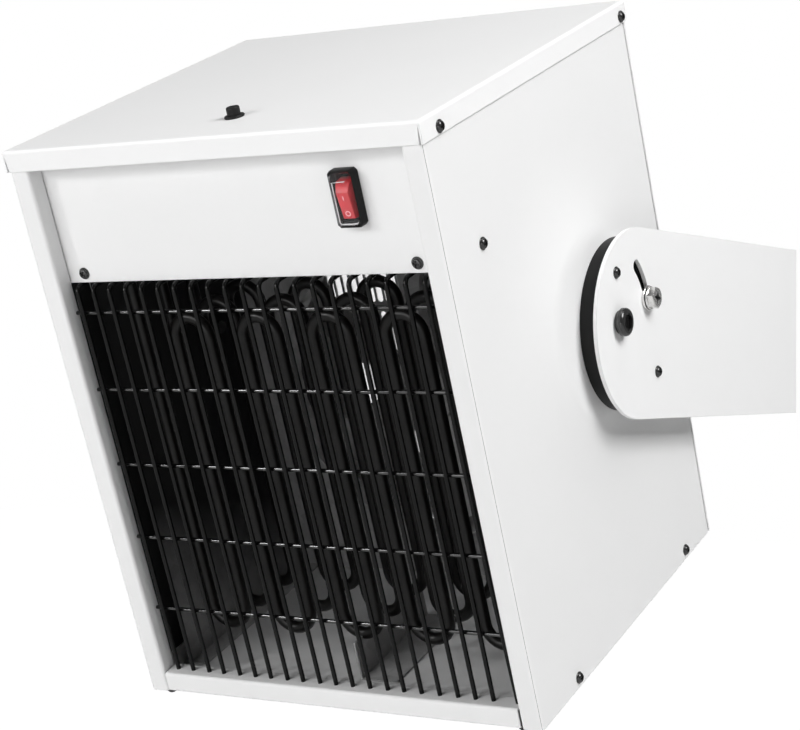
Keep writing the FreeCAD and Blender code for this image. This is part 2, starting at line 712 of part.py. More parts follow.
def make_side_panel(label, sign):
    """A side sheet with a folded front flange and return, a rear flange and the pressed boss."""
    body = piece(label)
    plan = [
        (flange_in, case_front),
        (side_out, case_front),
        (side_out, rear_in),
        (side_out - rear_flange, rear_in),
        (side_out - rear_flange, rear_in - steel),
        (side_in, rear_in - steel),
        (side_in, case_front + steel),
        (flange_in + steel, case_front + steel),
        (flange_in + steel, case_front + flange_return),
        (flange_in, case_front + flange_return),
    ]
    plan = [(across * sign, along) for across, along in plan]
    wall = outline(draw(body, "XY_Plane", case_bottom), plan)
    extrude(body, wall, case_top - case_bottom)
    outer = upright_edges_at(body, [plan[0], plan[1], plan[2]])
    fillet(body, outer, panel_bend)
    inner = upright_edges_at(body, [plan[5], plan[6], plan[7]])
    fillet(body, inner, panel_bend - steel)

    skin = circle(draw(body, "YZ_Plane", side_out * sign), (ZERO, ZERO), boss_base)
    pocket(body, skin, steel, back=sign < 0)
    dish = [
        (boss_face, ZERO),
        (boss_face, boss_top),
        (side_out, boss_base),
        (side_in, boss_base),
        (boss_inside, boss_top - steel),
        (boss_inside, ZERO),
    ]
    dish = [(across * sign, radius) for across, radius in dish]
    revolve(body, outline(draw(body, "XY_Plane"), dish))

    holes = draw(body, "YZ_Plane", boss_face * sign)
    polygon(holes, (ZERO, ZERO), shank_flats(pivot_bolt), PRISM_SIDES)
    polygon(holes, lock_spot, shank_flats(lock_bolt), PRISM_SIDES)
    pocket(body, holes, steel, back=sign < 0)
    return on_case(body)


deck_screw_spot = (lid_front + deck_screw_setback, deck_top + deck_screw_up)
rear_screw_heights = (
    lid_top - lid_lip - rear_screw_margin,
    (lid_top + case_bottom) / 2,
    case_bottom + rear_screw_margin,
)
lid_screw_spots = [
    (lid_front + lid_screw_margin, lid_top - lid_screw_drop),
    (lid_back - lid_screw_rear, lid_top - lid_screw_drop),
]
pan_screw_spots = [
    (lid_front + pan_screw_front, case_bottom + pan_screw_up),
    (lid_front + pan_screw_rear, case_bottom + pan_screw_up),
]


def make_bottom_pan():
    """The floor of the case: a tray with upturned sides and a folded lip and ledge in front."""
    body = piece("bottom_pan")
    tray_front = front_face
    tray = [
        (inner_half, case_bottom),
        (inner_half, case_bottom + pan_upstand),
        (inner_half - steel, case_bottom + pan_upstand),
        (inner_half - steel, floor_top),
        (steel - inner_half, floor_top),
        (steel - inner_half, case_bottom + pan_upstand),
        (-inner_half, case_bottom + pan_upstand),
        (-inner_half, case_bottom),
    ]
    tray_end = rear_in - panel_bend - seam
    section = outline(draw(body, "XZ_Plane", -tray_front), tray)
    extrude(body, section, tray_end - tray_front, back=True)
    lip_top = case_bottom + bottom_lip
    lip = [
        (tray_front, case_bottom),
        (case_front, case_bottom),
        (case_front, lip_top),
        (case_front + ledge_depth, lip_top),
        (case_front + ledge_depth, lip_top - steel),
        (case_front + steel, lip_top - steel),
        (case_front + steel, floor_top),
        (tray_front, floor_top),
    ]
    half = flange_in - lip_gap
    extrude(body, outline(draw(body, "YZ_Plane"), lip), half * 2, middle=True)

    def lip_fold(middle, along):
        return abs(along.x) > 0.9 and near(middle.y, case_front)

    fillet(body, edges_where(body, lip_fold), pan_bend)
    return on_case(body)


foot_screw_spots = [(foot_screw_side * side, case_front + foot_screw_back) for side in (1, -1)]


def make_rear_panel():
    """The back of the case, punched with rows of upright air slots."""
    body = piece("rear_panel")
    sheet_face = draw(body, "XZ_Plane", -case_back)
    rectangle(sheet_face, (-side_out, case_bottom), (side_out, case_top))
    extrude(body, sheet_face, steel)
    cut_slots(body, slot_middle, [0])
    cut_slots(body, slot_columns, [-2, -1, 1, 2])
    hole = polygon(draw(body, "XZ_Plane", -case_back), gland_spot, gland_thread, BUSH_SIDES)
    pocket(body, hole, steel * 2, middle=True)
    return on_case(body)


def cut_slots(body, count, rows):
    """Rows of air slots, counted from the middle row."""
    width = slot_pitch * (count - 1)
    first = []
    for row in rows:
        centre = (-width / 2, fan_height + slot_lift + slot_row_pitch * row)
        slot = centred(draw(body, "XZ_Plane", -case_back), centre, (slot_wide / 2, slot_tall / 2))
        first.append(pocket(body, slot, steel * 2, middle=True))
    repeat(body, first, "X_Axis", width, count)


gland_spot = (-gland_side, lid_top - gland_drop)
rear_screw_spots = [
    ((side_out - rear_screw_margin) * side, height)
    for side in (1, -1)
    for height in rear_screw_heights
]


def make_front_panel():
    """The recessed control panel, folded back along its lower edge, with the switch cut-out."""
    body = piece("front_panel")
    profile = [
        (front_face, front_bottom),
        (front_face + front_return, front_bottom),
        (front_face + front_return, front_bottom + steel),
        (front_back, front_bottom + steel),
        (front_back, case_top),
        (front_face, case_top),
    ]
    extrude(body, outline(draw(body, "YZ_Plane"), profile), inner_half * 2, middle=True)
    cut = draw(body, "XZ_Plane", -front_face)
    half_wide = bezel_wide / 2 - bezel_wall
    half_tall = bezel_tall / 2 - bezel_wall
    low = (switch_side - half_wide, switch_height - half_tall)
    high = (switch_side + half_wide, switch_height + half_tall)
    rectangle(cut, low, high)
    pocket(body, cut, steel * 2, middle=True)
    return on_case(body)


switch_height = lid_top - switch_drop
front_screw_spots = [(front_screw_side * side, front_bottom + front_screw_up) for side in (1, -1)]


def make_grille_bars():
    """Upright bars that stand on the ledge and bend back under the front panel."""
    body = piece("grille_bars")
    line_y = case_front + bar_setback
    tail_z = front_bottom - bar_size / 2
    foot_z = case_bottom + bottom_lip
    first_x = -bar_pitch * (bar_count - 1) / 2
    path = [
        (line_y, foot_z),
        (line_y, tail_z - bar_bend),
        (line_y + bar_bend, tail_z),
        (line_y + bar_tail, tail_z),
    ]
    spine = run(draw(body, "YZ_Plane", first_x), path)
    section = polygon(draw(body, "XY_Plane", foot_z), (first_x, line_y), bar_size, PRISM_SIDES)
    bar = body.newObject("PartDesign::AdditivePipe", "AdditivePipe")
    bar.Profile = section
    bar.Spine = (spine, [f"Edge{index}" for index in range(1, len(path))])
    bar.Transition = "Right corner"
    repeat(body, [bar], "X_Axis", bar_pitch * (bar_count - 1), bar_count)
    return on_case(body)


def make_cross_wires():
    """Wires welded across the back of the bars, from flange to flange."""
    body = piece("grille_cross_wires")
    line_y = case_front + bar_setback + bar_size / 2 + cross_size / 2
    half = flange_in - seam
    lowest = lid_top - cross_top - cross_pitch * (cross_count - 1)
    section = polygon(draw(body, "YZ_Plane"), (line_y, lowest), cross_size, PRISM_SIDES)
    wire = extrude(body, section, half * 2, middle=True)
    repeat(body, [wire], "Z_Axis", cross_pitch * (cross_count - 1), cross_count)
    return on_case(body)


def make_deck_plate():
    """The plate over the duct: it carries the element ends and the control pieces."""
    body = piece("deck_plate")
    front = front_back + seam
    tray = [
        (inner_half, deck_under),
        (inner_half, deck_under + deck_upstand),
        (inner_half - steel, deck_under + deck_upstand),
        (inner_half - steel, deck_top),
        (steel - inner_half, deck_top),
        (steel - inner_half, deck_under + deck_upstand),
        (-inner_half, deck_under + deck_upstand),
        (-inner_half, deck_under),
    ]
    section = outline(draw(body, "XZ_Plane", -front), tray)
    extrude(body, section, rear_in - panel_bend - seam - front, back=True)
    flange = draw(body, "XZ_Plane", -front)
    reach = front_screw_side + deck_upstand
    rectangle(flange, (-reach, deck_under), (reach, deck_under + deck_upstand))
    extrude(body, flange, steel, back=True)
    holes = draw(body, "XY_Plane", deck_top)
    for side in (1, -1):
        centre = (leg_pitch * (leg_count - 1) / 2 * side, lid_front + row_setback)
        polygon(holes, centre, tube_size + seam * 2, PRISM_SIDES)
    cut = pocket(body, holes, steel * 2, middle=True)
    repeat(body, [cut], "Y_Axis", row_pitch * (row_count - 1), row_count)
    return on_case(body)


def make_heat_shield(label, sign):
    """A galvanised inner wall of the duct with a foot on the floor."""
    body = piece(label)
    outer = side_in - shield_gap
    inner = outer - shield_steel
    profile = [
        (outer, floor_top),
        (outer, deck_under),
        (inner, deck_under),
        (inner, floor_top + shield_steel),
        (outer - shield_foot, floor_top + shield_steel),
        (outer - shield_foot, floor_top),
    ]
    front = front_face + front_return
    section = draw(body, "XZ_Plane", -front)
    outline(section, [(across * sign, up) for across, up in profile])
    extrude(body, section, bulkhead_front - front, back=True)
    return on_case(body)


def make_fan_bulkhead():
    """The partition that carries the fan, with a round inlet ring."""
    body = piece("fan_bulkhead")
    wall = draw(body, "XZ_Plane", -bulkhead_front)
    half = inner_half - steel
    rectangle(wall, (-half, floor_top), (half, deck_under))
    inlet = (fan_radius + fan_gap) * 2
    polygon(wall, (ZERO, fan_height), inlet, RING_SIDES)
    extrude(body, wall, steel, back=True)
    ring = draw(body, "XZ_Plane", -bulkhead_front)
    polygon(ring, (ZERO, fan_height), inlet + steel * 2, RING_SIDES)
    polygon(ring, (ZERO, fan_height), inlet, RING_SIDES)
    extrude(body, ring, ring_depth)
    return on_case(body)


hub_front = bulkhead_front - fan_depth / 2
hub_back = hub_front + fan_depth
strap_front = hub_back + fan_clear
motor_front = strap_front + strap_steel


def make_motor_bracket():
    """A folded strap across the inlet, on which the motor is mounted."""
    body = piece("motor_bracket")
    reach = fan_radius + fan_gap + strap_foot
    inner = fan_radius + fan_gap
    outer = inner + strap_steel
    foot_back = bulkhead_back + strap_steel
    outside = [(foot_back, reach), (foot_back, outer), (motor_front, outer)]
    inside = [(strap_front, inner), (bulkhead_back, inner), (bulkhead_back, reach)]
    upper = inside + outside
    profile = upper + [(along, -up) for along, up in reversed(upper)]
    section = outline(draw(body, "YZ_Plane"), [(along, fan_height + up) for along, up in profile])
    extrude(body, section, strap_width, middle=True)
    hole = polygon(draw(body, "XZ_Plane", -strap_front), (ZERO, fan_height), shaft_size * 2, PRISM_SIDES)
    pocket(body, hole, strap_steel * 2, middle=True)
    return on_case(body)


def make_fan_motor():
    """The motor: a drum with stepped end caps and a bore for its shaft."""
    body = piece("fan_motor")
    centre = (ZERO, ZERO)
    cap = polygon(draw(body, "XZ_Plane"), centre, (motor_radius - motor_cap) * 2, DRUM_SIDES)
    extrude(body, cap, motor_length, back=True)
    drum = polygon(draw(body, "XZ_Plane", -motor_cap), centre, motor_radius * 2, DRUM_SIDES)
    extrude(body, drum, motor_length - motor_cap * 2, back=True)
    bore = polygon(draw(body, "XZ_Plane"), centre, shaft_size + shaft_play * 2, BUSH_SIDES)
    pocket(body, bore, motor_length)
    return at_spot(body, (ZERO, motor_front, fan_height))


def make_motor_shaft():
    """The shaft, from the back of the hub through the motor."""
    body = piece("motor_shaft")
    flats = shaft_size * math.cos(math.pi / BUSH_SIDES)
    section = polygon(draw(body, "XZ_Plane"), (ZERO, ZERO), flats, BUSH_SIDES)
    extrude(body, section, motor_front + motor_length - hub_back, back=True)
    return at_spot(body, (ZERO, hub_back, fan_height))


def turn_offset(thing, axis, angle):
    """Turn an attached sketch or plane about one of its own axes."""
    thing.AttachmentOffset = Placement(Vector(0, 0, 0), Rotation(axis, angle.value))
    thing.setExpression("AttachmentOffset.Rotation.Angle", angle.text)


def make_fan_rotor():
    """The fan: a hub on the shaft with pitched blades that widen towards their tips."""
    body = piece("fan_rotor")
    hub = polygon(draw(body, "XZ_Plane"), (ZERO, ZERO), hub_radius * 2, DRUM_SIDES)
    extrude(body, hub, fan_depth, middle=True)
    turned = body.newObject("PartDesign::Plane", "BladePlane")
    turned.AttachmentSupport = [(origin_part(body, "XZ_Plane"), "")]
    turned.MapMode = "FlatFace"
    turn_offset(turned, Vector(0, 0, 1), blade_turn)
    plan = body.newObject("Sketcher::SketchObject", "Sketch")
    plan.AttachmentSupport = [(turned, "")]
    plan.MapMode = "FlatFace"
    turn_offset(plan, Vector(0, -1, 0), blade_pitch)
    half = [
        (blade_root / 2, hub_radius - blade_sheet),
        (blade_tip / 2, blade_reach - tip_corner),
        (blade_tip / 2 - tip_corner, blade_reach),
    ]
    outline(plan, half + [(-across, up) for across, up in reversed(half)])
    blade = extrude(body, plan, blade_sheet, middle=True)
    pattern = body.newObject("PartDesign::PolarPattern", "PolarPattern")
    pattern.Originals = [blade]
    pattern.Axis = (origin_part(body, "Y_Axis"), [""])
    pattern.setExpression("Occurrences", blade_count.text)
    body.Tip = pattern
    return at_spot(body, (ZERO, hub_front + fan_depth / 2, fan_height))


def element_path(row):
    """Corner points of one element's middle line: up and down the legs and round the bends."""
    depth = lid_front.value + row_setback.value + row * row_pitch.value
    half = leg_pitch.value / 2
    high = lid_top.value - loop_top.value - half
    low = case_bottom.value + loop_bottom.value + half
    count = int(leg_count.value)
    start = -half * (count - 1)
    end_height = deck_top.value + tube_stub.value
    reach = half / math.cos(math.pi / BEND_STEPS / 2)
    points = [Vector(start, depth, end_height)]
    for leg in range(count - 1):
        middle = start + leg * leg_pitch.value + half
        down = leg % 2 == 0
        level = low if down else high
        side = -1 if down else 1
        for step in range(BEND_STEPS):
            angle = math.pi * (1 - (step + 0.5) / BEND_STEPS)
            across = middle + reach * math.cos(angle)
            points.append(Vector(across, depth, level + side * reach * math.sin(angle)))
    points.append(Vector(-start, depth, end_height))
    return points


def make_heating_element(label, row):
    """One tubular element, bent up and down across the duct, with both ends through the deck."""
    points = element_path(row)
    spine = Part.makePolygon(points)
    radius = tube_size.value / 2
    corner = radius / math.cos(math.pi / PRISM_SIDES)
    ring = []
    for index in range(PRISM_SIDES + 1):
        angle = (index + 0.5) * 2 * math.pi / PRISM_SIDES
        ring.append(points[0] + Vector(corner * math.cos(angle), corner * math.sin(angle), 0))
    tube = Part.BRepOffsetAPI.MakePipeShell(spine)
    tube.setTransitionMode(1)
    tube.add(Part.makePolygon(ring))
    tube.build()
    tube.makeSolid()
    feature = doc.addObject("Part::Feature", label)
    feature.Label = label
    feature.Shape = tube.shape()
    return on_case(feature)


def make_element_terminals():
    """Ceramic bushes and threaded studs on the ends of the elements."""
    body = piece("element_terminals")
    first = (-leg_pitch * (leg_count - 1) / 2, lid_front + row_setback)
    base = deck_top + tube_stub
    bush_sketch = polygon(draw(body, "XY_Plane", base), first, terminal_size, PRISM_SIDES)
    bush = extrude(body, bush_sketch, terminal_height)
    stud_sketch = polygon(draw(body, "XY_Plane", base + terminal_height), first, stud_size, PRISM_SIDES)
    stud = extrude(body, stud_sketch, stud_height)
    across = ("X_Axis", leg_pitch * (leg_count - 1), 2)
    rows = ("Y_Axis", row_pitch * (row_count - 1), row_count)
    repeat_grid(body, [bush, stud], across, rows)
    return on_case(body)


def make_element_support():
    """A folded plate on the floor with a notch under the middle bend of each element."""
    body = piece("element_support")
    low_line = case_bottom + loop_bottom
    front = lid_front + row_setback - support_margin
    back = lid_front + row_setback + row_pitch * (row_count - 1) + support_margin
    profile = [
        (-steel / 2, floor_top),
        (support_foot, floor_top),
        (support_foot, floor_top + steel),
        (steel / 2, floor_top + steel),
        (steel / 2, low_line),
        (-steel / 2, low_line),
    ]
    section = outline(draw(body, "XZ_Plane", -front), profile)
    extrude(body, section, back - front, back=True)
    notch = draw(body, "YZ_Plane")
    polygon(notch, (lid_front + row_setback, low_line), tube_size + seam * 2, PRISM_SIDES)
    cut = pocket(body, notch, steel * 2, middle=True)
    repeat(body, [cut], "Y_Axis", row_pitch * (row_count - 1), row_count)
    return on_case(body)


def make_switch_housing():
    """The snap-in switch: a deep bezel in front of the panel and the body behind it."""
    body = piece("switch_housing")
    front = front_face - bezel_proud
    half = (bezel_wide / 2, bezel_tall / 2)
    centre = (switch_side, switch_height)
    corners = []
    for across, up in ((1, 1), (-1, 1), (-1, -1), (1, -1)):
        on_side = (centre[0] + half[0] * across, centre[1] + (half[1] - bezel_corner) * up)
        on_end = (centre[0] + (half[0] - bezel_corner) * across, centre[1] + half[1] * up)
        corners += [on_side, on_end] if across == up else [on_end, on_side]
    extrude(body, outline(draw(body, "XZ_Plane", -front), corners), bezel_proud, back=True)
    inner = (half[0] - bezel_wall, half[1] - bezel_wall)
    body_end = front_back + switch_depth
    neck = centred(draw(body, "XZ_Plane", -front_face), centre, inner)
    extrude(body, neck, body_end - front_face, back=True)
    well = (inner[0] - well_step, inner[1] - well_step)
    well_depth = bezel_proud + switch_depth / 2
    pocket(body, centred(draw(body, "XZ_Plane", -front), centre, well), well_depth)
    lips = centred(draw(body, "XZ_Plane", -front), centre, inner)
    pocket(body, lips, bezel_proud - bezel_wall)
    bearing = polygon(
        draw(body, "YZ_Plane", switch_side),
        (rocker_axis, switch_height),
        rocker_pin + shaft_play * 2,
        PRISM_SIDES,
    )
    pocket(body, bearing, bezel_wide, middle=True)
    return on_case(body)


def centred(sketch, centre, half):
    low = (centre[0] - half[0], centre[1] - half[1])
    high = (centre[0] + half[0], centre[1] + half[1])
    return rectangle(sketch, low, high)


def make_splash_cover():
    """The clear cap over the rocker, which stands on the ledge in the mouth of the bezel."""
    body = piece("splash_cover")
    front = front_face - bezel_proud - cover_proud
    ledge = front_face - bezel_wall
    half = (bezel_wide / 2 - bezel_wall, bezel_tall / 2 - bezel_wall)
    inside = (half[0] - cover_sheet, half[1] - cover_sheet)
    centre = (switch_side, switch_height)
    extrude(body, centred(draw(body, "XZ_Plane", -front), centre, half), ledge - front, back=True)
    hollow = centred(draw(body, "XZ_Plane", -(front + cover_sheet)), centre, inside)
    pocket(body, hollow, ledge - front)
    return on_case(body)


rocker_axis = front_face - rocker_proud + rocker_depth


def make_rocker():
    """The rocker on its two pins, with slopes round its face, resting with its lower end pressed in."""
    body = piece("rocker")
    half_tall = bezel_tall / 2 - bezel_wall - well_step - rocker_end
    half_wide = bezel_wide / 2 - bezel_wall - well_step - rocker_play
    profile = [
        (-rocker_depth, rocker_face_tall / 2),
        (rocker_dip - rocker_depth, ZERO),
        (-rocker_depth, -rocker_face_tall / 2),
        (-rocker_shoulder, -half_tall),
        (rocker_heel, -half_tall),
        (rocker_tail, ZERO),
        (rocker_heel, half_tall),
        (-rocker_shoulder, half_tall),
    ]
    extrude(body, outline(draw(body, "YZ_Plane"), profile), half_wide * 2, middle=True)
    slope = [
        (rocker_face_wide / 2, -rocker_depth),
        (half_wide, -rocker_shoulder),
        (half_wide + rocker_play, -rocker_shoulder),
        (half_wide + rocker_play, -rocker_depth),
    ]
    wedge = pocket(body, outline(draw(body, "XY_Plane"), slope), half_tall * 2, middle=True)
    mirror(body, [wedge])
    pins = polygon(draw(body, "YZ_Plane"), (ZERO, ZERO), shank_flats(rocker_pin), PRISM_SIDES)
    reach = bezel_wide / 2 - bezel_wall - seam
    extrude(body, pins, reach * 2, middle=True)
    return at_spot(body, (switch_side, rocker_axis, switch_height), rocker_throw / 2)


reset_spot_y = lid_front + reset_setback


def make_reset_bush():
    """The bush in the lid that guides the reset button."""
    body = piece("reset_bush")
    spot = (ZERO, reset_spot_y)
    flange = polygon(draw(body, "XY_Plane", lid_top), spot, bush_flange, BUSH_SIDES)
    extrude(body, flange, bush_flange_height)
    neck = polygon(draw(body, "XY_Plane", lid_top), spot, bush_neck, BUSH_SIDES)
    extrude(body, neck, steel + bush_length, back=True)
    bore = draw(body, "XY_Plane", lid_top + bush_flange_height)
    polygon(bore, spot, reset_size + reset_play * 2, BUSH_SIDES)
    pocket(body, bore, bush_flange_height + steel + bush_length)
    return on_case(body)


def make_reset_button():
    """The button that resets the thermal cut-out."""
    body = piece("reset_button")
    low = lid_top - steel - bush_length + reset_travel + seam
    section = polygon(draw(body, "XY_Plane", low), (ZERO, reset_spot_y), reset_size, BUSH_SIDES)
    extrude(body, section, lid_top + bush_flange_height + reset_proud - low)
    return on_case(body)


def make_thermal_cutout():
    """The thermal cut-out that hangs under the bush."""
    body = piece("thermal_cutout")
    top = lid_top - steel - bush_length
    half = (cutout_wide / 2, cutout_deep / 2)
    block = centred(draw(body, "XY_Plane", top), (ZERO, reset_spot_y), half)
    extrude(body, block, cutout_tall, back=True)
    return on_case(body)


def make_contactor():
    """The contactor on the deck, stepped towards its terminals at both ends."""
    body = piece("contactor")
    middle = lid_front + control_setback - contactor_deep / 2
    low_top = deck_top + contactor_tall / 2
    profile = [
        (middle - contactor_deep / 2, deck_top),
        (middle + contactor_deep / 2, deck_top),
        (middle + contactor_deep / 2, low_top),
        (middle + contactor_deep / 2 - contactor_step, low_top),
        (middle + contactor_deep / 2 - contactor_step, deck_top + contactor_tall),
        (middle - contactor_deep / 2 + contactor_step, deck_top + contactor_tall),
        (middle - contactor_deep / 2 + contactor_step, low_top),
        (middle - contactor_deep / 2, low_top),
    ]
    section = draw(body, "YZ_Plane", contactor_side - contactor_wide / 2)
    extrude(body, outline(section, profile), contactor_wide)
    return on_case(body)


def make_terminal_block():
    """The mains terminal block: a row of stepped cells."""
    body = piece("terminal_block")
    front = lid_front + control_setback - block_deep
    step_top = deck_top + block_tall / 2
    profile = [
        (front, deck_top),
        (front + block_deep, deck_top),
        (front + block_deep, step_top),
        (front + block_deep - block_step, deck_top + block_tall),
        (front + block_step, deck_top + block_tall),
        (front, step_top),
    ]
    first = -block_side - block_pitch * block_cells / 2
    base = [
        (front + block_step, deck_top),
        (front + block_deep - block_step, deck_top),
        (front + block_deep - block_step, step_top),
        (front + block_step, step_top),
    ]
    width = block_pitch * block_cells - block_gap
    extrude(body, outline(draw(body, "YZ_Plane", first), base), width)
    cell = extrude(body, outline(draw(body, "YZ_Plane", first), profile), block_pitch - block_gap)
    repeat(body, [cell], "X_Axis", block_pitch * (block_cells - 1), block_cells)
    return on_case(body)


def make_cable_gland():
    """The gland for the supply cable: hexagon, dome nut and neck, bored through."""
    body = piece("cable_gland")
    hexagon = polygon(draw(body, "XZ_Plane", -case_back), gland_spot, gland_hex, HEXAGON_SIDES)
    extrude(body, hexagon, gland_hex_depth, back=True)
    dome_base = case_back + gland_hex_depth
    dome = polygon(draw(body, "XZ_Plane", -dome_base), gland_spot, gland_nut, BUSH_SIDES)
    extrude(body, dome, gland_dome, back=True)
    neck_length = steel + gland_neck
    neck = polygon(draw(body, "XZ_Plane", -case_back), gland_spot, gland_thread, BUSH_SIDES)
    extrude(body, neck, neck_length)
    bore = circle(draw(body, "XZ_Plane", -case_back), gland_spot, gland_bore / 2)
    pocket(body, bore, (gland_hex_depth + gland_dome + neck_length) * 2, middle=True)
    return on_case(body)


def make_side_screws(label, surface, spots):
    """Pan-head screws in both sides of the case."""
    body = piece(label)
    mirror(body, [screw_at(body, "YZ_Plane", surface, spot) for spot in spots])
    return on_case(body)


def make_screws(label, role, surface, spots, inward):
    """Pan-head screws in the front, the rear or the floor of the case."""
    body = piece(label)
    for spot in spots:
        screw_at(body, role, surface, spot, inward)
    return on_case(body)


SIDES = (("left", -1), ("right", 1))
ROWS = ("front", "middle", "rear")

parts = [make_wall_bracket(), make_spacer_discs(), make_spacer_screws()]
for name, side in SIDES:
    parts.append(make_side_panel(f"{name}_side_panel", side))
    parts.append(make_heat_shield(f"{name}_heat_shield", side))
for index, name in enumerate(ROWS):
    parts.append(make_heating_element(f"{name}_heating_element", index))
washer_seat = arm_out + slide_gap
parts += [
    make_top_cover(),
    make_bottom_pan(),
    make_rear_panel(),
    make_front_panel(),
    make_grille_bars(),
    make_cross_wires(),
    make_deck_plate(),
    make_fan_bulkhead(),
    make_motor_bracket(),
    make_fan_motor(),
    make_motor_shaft(),
    make_fan_rotor(),
    make_element_terminals(),
    make_element_support(),
    make_switch_housing(),
    make_splash_cover(),
    make_rocker(),
    make_reset_bush(),
    make_reset_button(),
    make_thermal_cutout(),
    make_contactor(),
    make_terminal_block(),
    make_cable_gland(),
    make_pivot_bolts(),
    make_rings("pivot_washers", washer_seat, pivot_washer_height, pivot_washer, pivot_bolt, (ZERO, ZERO)),
    make_nuts("pivot_nuts", pivot_nut, pivot_nut_height, pivot_bolt, (ZERO, ZERO)),
    make_lock_bolts(),
    make_rings("tilt_lock_washers", washer_seat, lock_washer_height, lock_washer, lock_bolt, lock_spot),
    make_nuts("tilt_lock_nuts", lock_head, lock_nut_height, lock_bolt, lock_spot),
    make_side_screws("lid_screws", lid_width / 2, lid_screw_spots),
    make_side_screws("side_screws", side_out, [deck_screw_spot, *pan_screw_spots]),
    make_screws("front_screws", "XZ_Plane", -front_face, front_screw_spots, False),
    make_screws("rear_screws", "XZ_Plane", -case_back, rear_screw_spots, True),
    make_screws("foot_screws", "XY_Plane", case_bottom, foot_screw_spots, True),
]

doc.recompute()
for thing in doc.Objects:
    if "Invalid" in thing.State or "Error" in thing.State:
        raise RuntimeError(f"{thing.Label} ({thing.Name}) failed: {thing.State}")
for part in parts:
    if part.Shape.isNull() or not part.Shape.isValid() or not part.Shape.Solids:
        raise RuntimeError(f"{part.Label} has no sound solid")

os.makedirs("parts", exist_ok=True)
for part in parts:
    part.Shape.exportStep(f"parts/{part.Label}.step")
    print(part.Label, len(part.Shape.Solids), round(part.Shape.Volume, 1))
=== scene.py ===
"""Looks of the wall fan heater: materials, wires, tubes, fasteners, switch, light and camera."""
import json
import math
import random

import bmesh
import bpy
from mathutils import Euler, Matrix, Vector


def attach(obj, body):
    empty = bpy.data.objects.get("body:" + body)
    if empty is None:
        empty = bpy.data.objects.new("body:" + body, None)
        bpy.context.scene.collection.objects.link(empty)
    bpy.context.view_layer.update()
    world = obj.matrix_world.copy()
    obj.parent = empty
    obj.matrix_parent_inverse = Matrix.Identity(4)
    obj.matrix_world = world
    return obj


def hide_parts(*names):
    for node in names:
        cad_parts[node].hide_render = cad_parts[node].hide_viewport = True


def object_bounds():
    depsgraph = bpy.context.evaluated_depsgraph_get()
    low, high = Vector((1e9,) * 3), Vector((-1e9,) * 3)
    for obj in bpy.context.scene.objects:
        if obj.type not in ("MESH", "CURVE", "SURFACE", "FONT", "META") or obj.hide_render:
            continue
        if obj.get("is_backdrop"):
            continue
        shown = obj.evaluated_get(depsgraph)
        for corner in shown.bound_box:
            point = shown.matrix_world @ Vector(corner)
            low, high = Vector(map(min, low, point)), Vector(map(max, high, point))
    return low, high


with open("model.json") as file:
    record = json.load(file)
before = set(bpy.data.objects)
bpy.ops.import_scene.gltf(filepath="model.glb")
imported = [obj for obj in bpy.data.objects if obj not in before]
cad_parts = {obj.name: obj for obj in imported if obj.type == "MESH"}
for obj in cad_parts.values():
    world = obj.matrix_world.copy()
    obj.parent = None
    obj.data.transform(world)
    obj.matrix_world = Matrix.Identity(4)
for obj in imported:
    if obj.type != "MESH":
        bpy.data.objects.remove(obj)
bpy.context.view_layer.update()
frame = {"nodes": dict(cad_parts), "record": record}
nodes = frame["nodes"]

MM = 0.001
REST_TILT = math.radians(22.6)
ARM_REACH = 308.0
LEVEL = Matrix.Translation((0, -ARM_REACH * MM, 0)) @ Matrix.Scale(MM, 4)
CASE = Matrix.Translation((0, -ARM_REACH * MM, 0)) @ Matrix.Rotation(REST_TILT, 4, "X") @ Matrix.Scale(MM, 4)

# Planes of the case in millimetres from the tilt axis: x to the right, y to the back, z up
LID_FRONT, LID_BACK, LID_TOP = -150.5, 122.5, 174.5
LID_HALF = 150.0
CASE_FRONT, CASE_BACK, CASE_BOTTOM, CASE_TOP = -149.2, 121.2, -203.7, 173.2
SIDE_OUT, FLANGE_IN = 148.7, 134.4
FRONT_FACE, FRONT_BOTTOM = -136.5, 83.5
DECK_TOP = 85.9
FAN_HEIGHT = LID_TOP - 233.4
ARM_OUT = 169.5
STEEL = 1.2

RIGHT = Vector((1, 0, 0))
LEFT = Vector((-1, 0, 0))
FRONT = Vector((0, -1, 0))
REAR = Vector((0, 1, 0))
UNDER = Vector((0, 0, -1))
OVER = Vector((0, 0, 1))


# Materials


def wire(tree, start, start_socket, end, end_socket):
    tree.links.new(start.outputs[start_socket], end.inputs[end_socket])


# Heights in metres over which the painted shade on inner faces rises from its foot share to full, and the
# slope that still counts as sideways
SHADE_FOOT, SHADE_TOP = -0.21, -0.12
SIDEWAYS_BAND = 0.3


